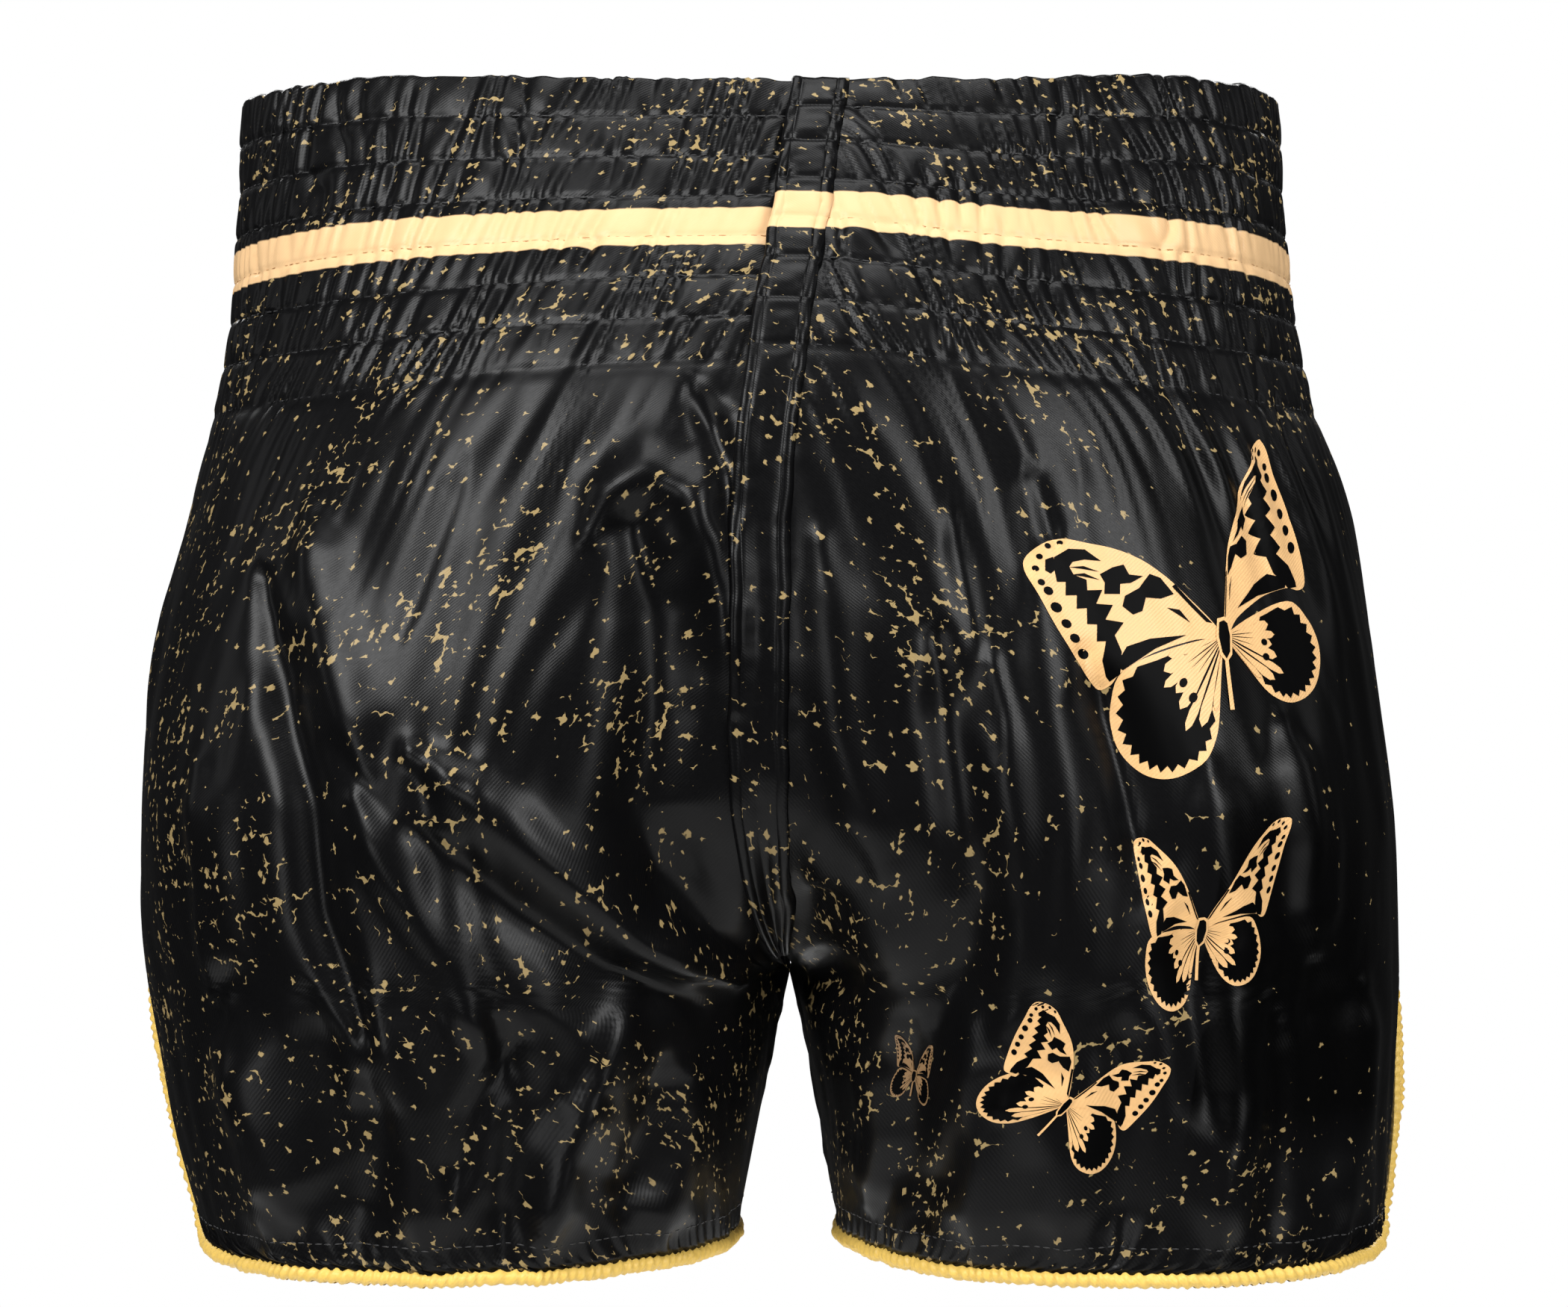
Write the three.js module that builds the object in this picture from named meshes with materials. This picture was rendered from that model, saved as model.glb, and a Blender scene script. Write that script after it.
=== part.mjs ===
// Kickboxing shorts: satin shell, seven-row elastic waistband, side slits and piped hems.
// Millimetres. +X is the wearer's right, +Y the way the wearer faces, +Z up.
// The origin is the middle of the waist opening. "Depth" is the distance below it along the side line.
import * as THREE from 'three';
import { mergeVertices } from 'three/addons/utils/BufferGeometryUtils.js';

// ---- driving dimensions -------------------------------------------------
const HEM_DEPTH = 338;          // waist opening to hem along the side
const BAND_DEPTH = 103;         // lower edge of the elastic waistband along the side
const ROWS = 7;                 // rows of elastic in the waistband
const CROTCH_DEPTH = 268;       // side-line depth of the ring that passes through the crotch
const SLIT_TOP_DEPTH = 262;     // top of the side slit
const CROTCH_Z = -262;          // where the seat seam meets the inseams
const CROTCH_Y = -4;
const SLIT_GAP_TOP = 4.7;       // half of the gap between the slit's edges, top and bottom
const SLIT_GAP_HEM = 7;
const CORNER_RADIUS = 22;       // rounded lower corner of each panel at the slit
const CLOTH = 1.0;              // stand-in thickness of one layer of satin
const CLEAR = 0.3;              // gap between neighbouring solids
const ELASTIC_HEIGHT = 9.5;
const ELASTIC_THICK = 1.2;
const FELL_HALF = 7;            // half width of the felled centre seams
const FELL_BOTTOM = 246;        // depth where the felled strips end
const ALLOWANCE = 5;            // seam allowance on each side of a plain seam
const COLUMNS = 12;             // facets across a quarter of the shell
const BAND_COLUMNS = 6;         // facets across a quarter of the layers inside the waistband
const PIPING_RADIUS = 2.0;
const COVER_WALL = 0.6;         // thickness of the piping's satin cover
const CORD_RADIUS = 0.7;        // filler cord inside the piping
const TURN_UP = 6.5;            // height and thickness of the turned-up hem allowance
const TURN_UP_WALL = 0.8;
const BAR_TACK = { deep: 1.0, long: 9, high: 2.2 };
const TACK_ABOVE_SLIT = 2.6;
const LABEL = { from: 12, to: 40, height: 33, wall: 0.6 };   // "from" and "to" count from the centre seam

// Each profile is a few [depth, value] stations joined by a smooth curve.
const CENTRE_BACK_X = [[0, 16], [49, 11], [103, 4], [160, -1], [235, 0], [268, 7]];
const CENTRE_BACK_Y = [[0, -72], [49, -90], [103, -112], [155, -121], [200, -117], [235, -97], [256, -55],
  [268, CROTCH_Y]];
const CENTRE_BACK_Z = [[0, -8.5], [49, -47], [103, -90], [160, -142], [200, -182], [235, -224], [256, -253],
  [268, CROTCH_Z]];
const CENTRE_FRONT_X = [[0, 0], [160, 0], [268, 7]];
const CENTRE_FRONT_Y = [[0, 80], [49, 88], [103, 97], [155, 100], [200, 98], [235, 86], [256, 50],
  [268, CROTCH_Y]];
const CENTRE_FRONT_Z = [[0, -14], [49, -58], [103, -106], [160, -157], [200, -193], [235, -230], [256, -254],
  [268, CROTCH_Z]];
const LEFT_SIDE_X = [[0, -155], [60, -157], [95, -161], [130, -169], [165, -178], [200, -183], [240, -184],
  [290, -176], [338, -165]];
const RIGHT_SIDE_X = [[0, 152], [60, 155], [95, 160], [130, 172], [165, 178.5], [200, 183], [240, 186],
  [290, 185], [338, 182]];
const LEFT_INSEAM_X = [[268, 7], [300, 0], [338, -8]];
const RIGHT_INSEAM_X = [[268, 7], [300, 15], [338, 22]];
// Angle between a ring and the X axis where it meets the centre seam: 90 degrees closes it round a leg.
const SEAM_TURN = [[0, 0], [103, 0], [160, 4], [200, 12], [225, 24], [246, 54], [252, 70], [256, 76], [260, 81],
  [268, 90]];
// Length of the ring curve's handle at the centre seam.
const SEAM_HANDLE = [[0, 92], [103, 95], [200, 100], [225, 98], [235, 84], [246, 74], [252, 78], [256, 94],
  [260, 114], [268, 152], [300, 146], [338, 134]];
// How far behind and in front of the side line a ring is half way round from the seam to the side.
const BACK_REACH = [[0, 52], [103, 82], [160, 97], [200, 107.5], [235, 115], [256, 117], [268, 116.5], [300, 110],
  [338, 101]];
const FRONT_REACH = [[0, 57], [103, 77], [160, 85], [200, 94], [235, 103], [256, 107], [268, 108], [300, 103.5],
  [338, 95]];

// ---- curves -------------------------------------------------------------
function profile(stations, depth) {
  const last = stations.length - 1;
  if (depth <= stations[0][0]) return stations[0][1];
  if (depth >= stations[last][0]) return stations[last][1];
  let i = 0;
  while (depth > stations[i + 1][0]) i++;
  const slope = (a, b) => (stations[b][1] - stations[a][1]) / (stations[b][0] - stations[a][0]);
  const level = (a, b) => (a * b > 0 ? (a + b) / 2 : 0);      // flat where the profile turns back
  const here = slope(i, i + 1);
  const before = i > 0 ? level(slope(i - 1, i), here) : here;
  const after = i + 1 < last ? level(slope(i + 1, i + 2), here) : here;
  const step = stations[i + 1][0] - stations[i][0];
  const t = (depth - stations[i][0]) / step;
  const t2 = t * t;
  const t3 = t2 * t;
  return (2 * t3 - 3 * t2 + 1) * stations[i][1] + (t3 - 2 * t2 + t) * step * before
    + (3 * t2 - 2 * t3) * stations[i + 1][1] + (t3 - t2) * step * after;
}

// How far a panel's edge stands back from the middle of a seam.
const EDGE_GAP = 0.6 * CLEAR;

// side: -1 left, 1 right.  face: -1 back, 1 front.
function seamPoint(side, face, depth) {
  const apart = side * EDGE_GAP;
  if (depth >= CROTCH_DEPTH) {
    const inseam = side < 0 ? LEFT_INSEAM_X : RIGHT_INSEAM_X;
    const drop = (depth - CROTCH_DEPTH) / (HEM_DEPTH - CROTCH_DEPTH);
    const z = THREE.MathUtils.lerp(CROTCH_Z, -HEM_DEPTH, drop);
    return new THREE.Vector3(profile(inseam, depth) + apart, CROTCH_Y * (1 - drop), z);
  }
  const [xs, ys, zs] = face < 0
    ? [CENTRE_BACK_X, CENTRE_BACK_Y, CENTRE_BACK_Z]
    : [CENTRE_FRONT_X, CENTRE_FRONT_Y, CENTRE_FRONT_Z];
  return new THREE.Vector3(profile(xs, depth) + apart, profile(ys, depth), profile(zs, depth));
}

function sidePoint(side, depth) {
  return new THREE.Vector3(profile(side < 0 ? LEFT_SIDE_X : RIGHT_SIDE_X, depth), 0, -depth);
}

// One quarter of the ring at a depth, from the centre seam (or inseam) to the side line.
function ringCurve(side, face, depth) {
  const seam = seamPoint(side, face, depth);
  const edge = sidePoint(side, depth);
  const turn = THREE.MathUtils.degToRad(profile(SEAM_TURN, depth));
  const seamHandle = profile(SEAM_HANDLE, depth);
  // A cubic's middle point is 1/8, 3/8, 3/8 and 1/8 of its four control points.
  const reach = profile(face < 0 ? BACK_REACH : FRONT_REACH, depth);
  const sideHandle = (reach - Math.abs(seam.y) / 2) * 8 / 3 - seamHandle * Math.sin(turn);
  const leave = new THREE.Vector3(side * Math.cos(turn), face * Math.sin(turn), 0);
  return new THREE.CubicBezierCurve3(
    seam,
    seam.clone().addScaledVector(leave, seamHandle),
    edge.clone().add(new THREE.Vector3(0, face * sideHandle, 0)),
    edge,
  );
}

// "around" is the share of the quarter's length, 0 at the centre seam and 1 at the side.
function clothPoint(side, face, around, depth) {
  return ringCurve(side, face, depth).getPointAt(around);
}

const quarterLength = (side, face, depth) => ringCurve(side, face, depth).getLength();

function clothNormal(side, face, around, depth) {
  const e = 0.004;
  const a0 = Math.max(0, around - e);
  const a1 = Math.min(1, around + e);
  const d0 = Math.max(0, depth - 0.8);
  const d1 = Math.min(HEM_DEPTH, depth + 0.8);
  const across = clothPoint(side, face, a1, depth).sub(clothPoint(side, face, a0, depth));
  const down = clothPoint(side, face, around, d1).sub(clothPoint(side, face, around, d0));
  return across.cross(down).multiplyScalar(side * face).normalize();
}

// A point off the cloth along its outward normal.
function offCloth(side, face, around, depth, lift) {
  return clothPoint(side, face, around, depth)
    .addScaledVector(clothNormal(side, face, around, depth), lift);
}

// Where a panel's slit edge lies, leaving the slit and the rounded corner clear.
function slitEdge(side, face, depth) {
  const open = (depth - SLIT_TOP_DEPTH) / (HEM_DEPTH - SLIT_TOP_DEPTH);
  let back = THREE.MathUtils.lerp(SLIT_GAP_TOP, SLIT_GAP_HEM, open);
  const rise = HEM_DEPTH - depth;
  if (rise < CORNER_RADIUS) {
    back += CORNER_RADIUS - Math.sqrt(CORNER_RADIUS ** 2 - (CORNER_RADIUS - rise) ** 2);
  }
  return 1 - back / quarterLength(side, face, depth);
}

// ---- solids -------------------------------------------------------------
// Turns a grid of outer and inner points into one closed solid.
function closedSheet(outer, inner) {
  const rows = outer.length;
  const columns = outer[0].length;
  const points = [...outer.flat(), ...inner.flat()];
  const index = [];
  const at = (layer, r, c) => layer * rows * columns + r * columns + c;
  const quad = (a, b, c, d) => index.push(a, b, c, a, c, d);
  for (let r = 0; r + 1 < rows; r++) {
    for (let c = 0; c + 1 < columns; c++) {
      quad(at(0, r, c), at(0, r + 1, c), at(0, r + 1, c + 1), at(0, r, c + 1));
      quad(at(1, r, c), at(1, r, c + 1), at(1, r + 1, c + 1), at(1, r + 1, c));
    }
  }
  for (let c = 0; c + 1 < columns; c++) {
    quad(at(0, 0, c), at(0, 0, c + 1), at(1, 0, c + 1), at(1, 0, c));
    quad(at(0, rows - 1, c), at(1, rows - 1, c), at(1, rows - 1, c + 1), at(0, rows - 1, c + 1));
  }
  for (let r = 0; r + 1 < rows; r++) {
    quad(at(0, r, 0), at(1, r, 0), at(1, r + 1, 0), at(0, r + 1, 0));
    quad(at(0, r, columns - 1), at(0, r + 1, columns - 1), at(1, r + 1, columns - 1), at(1, r, columns - 1));
  }
  return facingOut(points, index);
}

// Sweeps a closed outline along a closed run of frames, as a ring.
function closedSweep(frames, outline) {
  const steps = frames.length;
  const sides = outline.length;
  const points = frames.flatMap(({ at, u, v }) => outline.map(([x, y]) =>
    at.clone().addScaledVector(u, x).addScaledVector(v, y)));
  const index = [];
  for (let s = 0; s < steps; s++) {
    for (let k = 0; k < sides; k++) {
      const a = s * sides + k;
      const b = s * sides + (k + 1) % sides;
      const c = ((s + 1) % steps) * sides + (k + 1) % sides;
      const d = ((s + 1) % steps) * sides + k;
      index.push(a, b, c, a, c, d);
    }
  }
  return facingOut(points, index);
}

// Reverses the faces if the signed volume is negative.
function facingOut(points, index) {
  let volume = 0;
  for (let i = 0; i < index.length; i += 3) {
    const [a, b, c] = [points[index[i]], points[index[i + 1]], points[index[i + 2]]];
    volume += a.dot(new THREE.Vector3().crossVectors(b, c));
  }
  if (volume < 0) for (let i = 0; i < index.length; i += 3) [index[i], index[i + 1]] = [index[i + 1], index[i]];
  const geometry = new THREE.BufferGeometry();
  geometry.setAttribute('position', new THREE.Float32BufferAttribute(points.flatMap((p) => p.toArray()), 3));
  geometry.setIndex(index);
  const solid = mergeVertices(geometry, 1e-4);
  solid.computeVertexNormals();
  return solid;
}

// A patch of cloth between two lifts off the surface. Rows are depths; each row runs from `from` to `to`.
function clothPatch(side, face, depths, columns, from, to, outerLift, innerLift) {
  const grid = (lift) => depths.map((depth) => {
    const start = from(depth);
    const end = to(depth);
    return Array.from({ length: columns + 1 }, (_, c) =>
      offCloth(side, face, THREE.MathUtils.lerp(start, end, c / columns), depth, lift));
  });
  return closedSheet(grid(outerLift), grid(innerLift));
}

function steps(from, to, count) {
  return Array.from({ length: count + 1 }, (_, i) => THREE.MathUtils.lerp(from, to, i / count));
}

// ---- materials ----------------------------------------------------------
const material = (color, roughness) => new THREE.MeshStandardMaterial({ color, roughness, metalness: 0 });
const satin = material(0x1c1c1f, 0.4);
const facingCloth = material(0x141416, 0.6);
const elasticKnit = material(0xdcd9d0, 0.85);
const gold = material(0xe8c060, 0.45);
const cotton = material(0xe9e4d8, 0.9);
const thread = material(0x17171a, 0.7);

const shorts = new THREE.Group();
function add(name, geometry, finish) {
  const mesh = new THREE.Mesh(geometry, finish);
  mesh.name = name;
  shorts.add(mesh);
}

const SIDES = [[-1, 'left'], [1, 'right']];
const FACES = [[-1, 'back'], [1, 'front']];

// ---- leg panels: each runs from the top fold to the hem -----------------
// The depths of a panel's rings of facets: the two close ones make the slit's square top.
const panelDepths = [
  ...steps(0, BAND_DEPTH, ROWS), ...steps(124, 224, 5), 236, FELL_BOTTOM, 254, SLIT_TOP_DEPTH - 0.2,
  SLIT_TOP_DEPTH + 0.2, CROTCH_DEPTH, 280, 298, ...[22, 14, 8, 3.5, 1, 0].map((rise) => HEM_DEPTH - rise),
];
function addPanel(side, sideName, face, faceName) {
  const gap = (depth) => EDGE_GAP / quarterLength(side, face, depth);
  const to = (depth) => (depth > SLIT_TOP_DEPTH ? slitEdge(side, face, depth) : 1 - gap(depth));
  add(`${faceName}_panel_${sideName}`,
    clothPatch(side, face, panelDepths, COLUMNS, gap, to, 0, -CLOTH), satin);
}
for (const [side, sideName] of SIDES) {
  for (const [face, faceName] of FACES) addPanel(side, sideName, face, faceName);
}

// ---- waistband: seven elastic rings between the shell and a facing ------
const rowDepth = (row) => BAND_DEPTH * row / ROWS;

// A full ring of frames at a depth, lifted off the cloth, starting at the centre back.
function ringFrames(depth, lift) {
  const frames = [];
  const quarters = [[1, -1, false], [1, 1, true], [-1, 1, false], [-1, -1, true]];
  for (const [side, face, reversed] of quarters) {
    for (let i = 0; i < BAND_COLUMNS; i++) {
      const around = reversed ? 1 - i / BAND_COLUMNS : i / BAND_COLUMNS;
      frames.push({
        at: offCloth(side, face, around, depth, lift),
        u: clothNormal(side, face, around, depth),
        v: clothPoint(side, face, around, depth - 2).sub(clothPoint(side, face, around, depth + 2)).normalize(),
      });
    }
  }
  return frames;
}
const elasticLift = -CLOTH - 2 * CLEAR - ELASTIC_THICK / 2;
const elasticOutline = [[-1, -1], [1, -1], [1, 1], [-1, 1]]
  .map(([x, y]) => [x * ELASTIC_THICK / 2, y * ELASTIC_HEIGHT / 2]);
for (let row = 1; row <= ROWS; row++) {
  const middle = (rowDepth(row - 1) + rowDepth(row)) / 2;
  add(`elastic_row_${row}`, closedSweep(ringFrames(middle, elasticLift), elasticOutline), elasticKnit);
}

// The facing is the waistband's inner layer, in two halves that meet at the centre seams.
const facingOuter = -CLOTH - 4 * CLEAR - ELASTIC_THICK;
function facingGrid(side, lift) {
  return steps(1, BAND_DEPTH, ROWS).map((depth) => {
    const back = steps(0, 1, BAND_COLUMNS).map((around) => offCloth(side, -1, around, depth, lift));
    const front = steps(1, 0, BAND_COLUMNS).map((around) => offCloth(side, 1, around, depth, lift));
    return [...back, ...front.slice(1)];
  });
}
for (const [side, sideName] of SIDES) {
  add(`waistband_facing_${sideName}`,
    closedSheet(facingGrid(side, facingOuter), facingGrid(side, facingOuter - CLOTH)), facingCloth);
}

// ---- felled centre seams: a folded strip over the join of two panels ----
function fellPoint(face, distance, depth, lift) {
  const side = distance < 0 ? -1 : 1;
  if (distance !== 0) {
    return offCloth(side, face, Math.abs(distance) / quarterLength(side, face, depth), depth, lift);
  }
  const normal = clothNormal(-1, face, 0, depth).add(clothNormal(1, face, 0, depth)).normalize();
  return seamPoint(1, face, depth).add(seamPoint(-1, face, depth)).divideScalar(2).addScaledVector(normal, lift);
}
const fellDepths = panelDepths.filter((depth) => depth <= FELL_BOTTOM);
for (const [face, faceName] of FACES) {
  const grid = (lift) => fellDepths.map((depth) =>
    steps(-FELL_HALF, FELL_HALF, 4).map((distance) => fellPoint(face, distance, depth, lift)));
  add(`centre_${faceName}_fell`, closedSheet(grid(3 * CLEAR + CLOTH), grid(3 * CLEAR)), satin);
}

// ---- seam allowances inside the side seams and the inseams --------------
function seamGrid(side, atSeam, depths, lift) {
  return depths.map((depth) => steps(-ALLOWANCE, ALLOWANCE, 4).map((distance) => {
    const face = distance < 0 ? -1 : 1;
    const share = Math.abs(distance) / quarterLength(side, face, depth);
    return offCloth(side, face, atSeam ? share : 1 - share, depth, lift);
  }));
}
const insideLift = -CLOTH - 1.5 * CLEAR;
for (const [side, sideName] of SIDES) {
  const sideDepths = [BAND_DEPTH + 2,
    ...panelDepths.filter((depth) => depth > BAND_DEPTH + 5 && depth < SLIT_TOP_DEPTH - 2)];
  const legDepths = [...panelDepths.filter((depth) => depth > CROTCH_DEPTH && depth < HEM_DEPTH - 8),
    HEM_DEPTH - TURN_UP - 1];
  for (const [name, atSeam, depths] of [['side_seam', false, sideDepths], ['inseam', true, legDepths]]) {
    const grid = (lift) => seamGrid(side, atSeam, depths, lift);
    add(`${name}_${sideName}`, closedSheet(grid(insideLift), grid(insideLift - CLOTH)), satin);
  }
}

// ---- the piped edge of each leg opening ---------------------------------
// One panel's free edge from the inseam along the hem, round the corner and up the slit.
function panelEdge(side, face) {
  const run = [];
  const hemEnd = slitEdge(side, face, HEM_DEPTH);
  for (const share of steps(0, 1, COLUMNS)) run.push({ face, around: hemEnd * share, depth: HEM_DEPTH });
  for (const depth of panelDepths.filter((d) => d > SLIT_TOP_DEPTH && d < HEM_DEPTH).reverse()) {
    run.push({ face, around: slitEdge(side, face, depth), depth });
  }
  return run;
}

// Frames along the whole opening: u points out of the cloth's edge, v out of its face.
function openingFrames(side, away) {
  const back = panelEdge(side, -1);
  const front = panelEdge(side, 1);
  const run = [...back, ...front.reverse().slice(0, -1)];
  const points = run.map(({ face, around, depth }) => clothPoint(side, face, around, depth));
  return run.map(({ face, around, depth }, i) => {
    const before = points[(i + points.length - 1) % points.length];
    const after = points[(i + 1) % points.length];
    const along = after.clone().sub(before).normalize();
    const v = clothNormal(side, face, around, depth);
    const u = new THREE.Vector3().crossVectors(along, v).multiplyScalar(side).normalize();
    return { at: points[i].clone().addScaledVector(u, away).addScaledVector(v, -CLOTH / 2), u, v };
  });
}

const arc = (radius, from, to, count) => steps(from, to, count).map((degrees) => {
  const angle = THREE.MathUtils.degToRad(degrees);
  return [radius * Math.cos(angle), radius * Math.sin(angle)];
});
// The cover is a strip of gold satin wrapped round the cord, open towards the cloth.
const coverOutline = [...arc(PIPING_RADIUS, -145, 145, 5), ...arc(PIPING_RADIUS - COVER_WALL, 145, -145, 4)];
const cordOutline = arc(CORD_RADIUS, 0, 270, 3);
for (const [side, sideName] of SIDES) {
  const frames = openingFrames(side, PIPING_RADIUS);
  add(`piping_cover_${sideName}`, closedSweep(frames, coverOutline), gold);
  add(`piping_cord_${sideName}`, closedSweep(frames, cordOutline), cotton);
}

// Hem allowance, turned up inside each panel along the hem.
for (const [side, sideName] of SIDES) {
  for (const [face, faceName] of FACES) {
    const depths = steps(HEM_DEPTH - TURN_UP, HEM_DEPTH - TURN_UP_WALL, 2);
    const from = (depth) => EDGE_GAP / quarterLength(side, face, depth);
    const to = (depth) => slitEdge(side, face, depth);
    add(`hem_turn_up_${faceName}_${sideName}`,
      clothPatch(side, face, depths, COLUMNS, from, to, insideLift, insideLift - TURN_UP_WALL), satin);
  }
}

// ---- bar tack across the top of each slit, and a blank label ------------
for (const [side, sideName] of SIDES) {
  const at = offCloth(side, 1, 1, SLIT_TOP_DEPTH - TACK_ABOVE_SLIT, insideLift - 2 * CLEAR);
  const tack = new THREE.BoxGeometry(BAR_TACK.deep, BAR_TACK.long, BAR_TACK.high).translate(at.x, at.y, at.z);
  add(`slit_bar_tack_${sideName}`, tack, thread);
}
const labelBottom = BAND_DEPTH - 1;
const labelGrid = (lift) => steps(labelBottom - LABEL.height, labelBottom, 2).map((depth) =>
  steps(LABEL.from, LABEL.to, 4).map((distance) =>
    offCloth(1, -1, distance / quarterLength(1, -1, depth), depth, lift)));
const labelLift = facingOuter - CLOTH - 3 * CLEAR;
add('size_label', closedSheet(labelGrid(labelLift), labelGrid(labelLift - LABEL.wall)), cotton);

export default shorts;
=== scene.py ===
# Kickboxing shorts: black printed satin, a seven-row shirred waistband, side slits and gold piped hems.
# Sizes are in millimetres until a piece's points are written, which turns them into the frame's metres.
import math

import bmesh
import bpy
import numpy as np
from mathutils import Matrix, Vector


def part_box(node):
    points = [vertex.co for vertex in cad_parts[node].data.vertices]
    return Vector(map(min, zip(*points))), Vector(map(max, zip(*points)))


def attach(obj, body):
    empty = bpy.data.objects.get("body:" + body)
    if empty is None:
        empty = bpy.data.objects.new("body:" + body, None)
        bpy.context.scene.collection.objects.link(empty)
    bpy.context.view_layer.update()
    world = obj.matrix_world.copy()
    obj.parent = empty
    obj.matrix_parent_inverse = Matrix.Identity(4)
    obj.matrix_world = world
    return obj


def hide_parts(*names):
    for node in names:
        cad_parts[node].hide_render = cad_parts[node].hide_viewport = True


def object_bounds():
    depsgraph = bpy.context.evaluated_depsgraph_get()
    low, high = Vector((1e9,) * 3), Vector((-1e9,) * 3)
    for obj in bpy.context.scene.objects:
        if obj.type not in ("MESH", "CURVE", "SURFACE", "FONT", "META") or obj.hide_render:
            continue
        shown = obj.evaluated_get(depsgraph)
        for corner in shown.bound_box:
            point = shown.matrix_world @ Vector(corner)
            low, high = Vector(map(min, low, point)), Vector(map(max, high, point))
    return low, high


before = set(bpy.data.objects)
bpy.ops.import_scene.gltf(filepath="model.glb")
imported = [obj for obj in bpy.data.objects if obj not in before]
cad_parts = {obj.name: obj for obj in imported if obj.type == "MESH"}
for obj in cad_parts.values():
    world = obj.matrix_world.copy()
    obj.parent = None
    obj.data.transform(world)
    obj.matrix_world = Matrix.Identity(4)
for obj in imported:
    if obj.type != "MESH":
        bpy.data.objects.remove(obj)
cad_low, cad_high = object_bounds()

# ---- viewing: camera, softboxes, white room and floor ---------------------------------------------------
# The camera stands behind the wearer, level with the middle of the shorts. Large softboxes light the back
# from both sides and above, small ones fill from below, and two more light the front for other views.
CAMERA_DISTANCE = 1.150
CAMERA_ASIDE = 0.0056
CAMERA_RAISED = 0.0016
LENS = 88.7                       # on a 36 mm wide sensor
FLOOR_RADIUS = 0.62
FLOOR_DROP = 0.30                 # from the hems down to the floor
ROOM_LIGHT = 0.03                 # the room is white to look at and much dimmer as a light
SOFTBOXES = {                     # place, size and watts
    "key_left": ((-0.95, -1.35, 0.85), (0.8, 0.9), 34),
    "key_right": ((1.2, -1.3, 0.55), (0.55, 1.0), 22),
    "overhead": ((0.0, -0.45, 1.3), (1.1, 0.6), 15),
    "low_left": ((-0.95, -1.25, -0.38), (0.6, 0.5), 3.5),
    "low_right": ((0.85, -1.3, -0.38), (0.5, 0.5), 2.5),
    "edge_left": ((-1.7, 0.1, 0.35), (0.4, 0.9), 1.2),
    "edge_right": ((1.7, 0.1, 0.35), (0.4, 0.9), 1.2),
    "front_left": ((-0.9, 1.4, 1.0), (0.6, 0.8), 17),
    "front_right": ((0.9, 1.4, 1.0), (0.6, 0.8), 14),
}
middle_z = (cad_low.z + cad_high.z) / 2


def show(name, thing):
    """An object in the scene for a camera, light or mesh."""
    shown = bpy.data.objects.new(name, thing)
    bpy.context.scene.collection.objects.link(shown)
    return shown


def plug(tree, node, inputs):
    """Sets inputs of a node, each to a plain value or to the output that feeds it."""
    for name, value in inputs.items():
        if isinstance(value, bpy.types.NodeSocket):
            tree.links.new(value, node.inputs[name])
        else:
            node.inputs[name].default_value = value


def add_node(tree, kind, inputs, **settings):
    """Adds a shader node of a kind to a tree, with its settings and its inputs."""
    node = tree.nodes.new("ShaderNode" + kind)
    for name, value in settings.items():
        setattr(node, name, value)
    plug(tree, node, inputs)
    return node


def ranged(tree, value, taken=(0, 1), given=(0, 1)):
    """A shader value moved from one range to another, and held at the ends."""
    ends = dict(zip(("From Min", "From Max", "To Min", "To Max"), (*taken, *given)))
    return add_node(tree, "MapRange", {"Value": value, **ends}).outputs["Result"]


def shade(tree, inputs):
    """Sets or feeds the sockets of a material's shader."""
    plug(tree, tree.nodes["Principled BSDF"], inputs)


def finish(name, constants):
    """A new material and its node tree, with constants set on the shader's own sockets."""
    material = bpy.data.materials.new(name)
    material.use_nodes = True
    shade(material.node_tree, constants)
    return material, material.node_tree


camera_data = bpy.data.cameras.new("camera")
camera_data.lens = LENS
camera_data.sensor_width = 36
camera = show("camera", camera_data)
camera.location = (CAMERA_ASIDE, -CAMERA_DISTANCE, middle_z + CAMERA_RAISED)
camera.rotation_euler = (math.pi / 2, 0, 0)
bpy.context.scene.camera = camera

for name, (place, size, watts) in SOFTBOXES.items():
    light = bpy.data.lights.new(name, "AREA")
    light.shape = "RECTANGLE"
    light.size, light.size_y = size
    light.energy = watts
    softbox = show(name, light)
    softbox.location = place
    softbox.rotation_euler = (Vector((0, 0, middle_z)) - Vector(place)).to_track_quat("-Z", "Y").to_euler()

world = bpy.data.worlds.new("white_room")
world.use_nodes = True
bpy.context.scene.world = world
room = world.node_tree
to_camera = add_node(room, "LightPath", {}).outputs["Is Camera Ray"]
plug(room, room.nodes["Background"],
     {"Color": (1, 1, 1, 1), "Strength": ranged(room, to_camera, given=(ROOM_LIGHT, 1.0))})
bpy.context.scene.view_settings.view_transform = "Standard"

floor_mesh = bpy.data.meshes.new("floor")
bm = bmesh.new()
bmesh.ops.create_circle(bm, cap_ends=True, segments=96, radius=FLOOR_RADIUS)
bmesh.ops.translate(bm, vec=(0, 0.1, cad_low.z - FLOOR_DROP), verts=bm.verts)
bm.to_mesh(floor_mesh)
bm.free()
floor_mesh.materials.append(finish("floor_paint", {"Base Color": (0.86, 0.86, 0.85, 1), "Roughness": 0.9})[0])
show("floor", floor_mesh)

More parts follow.
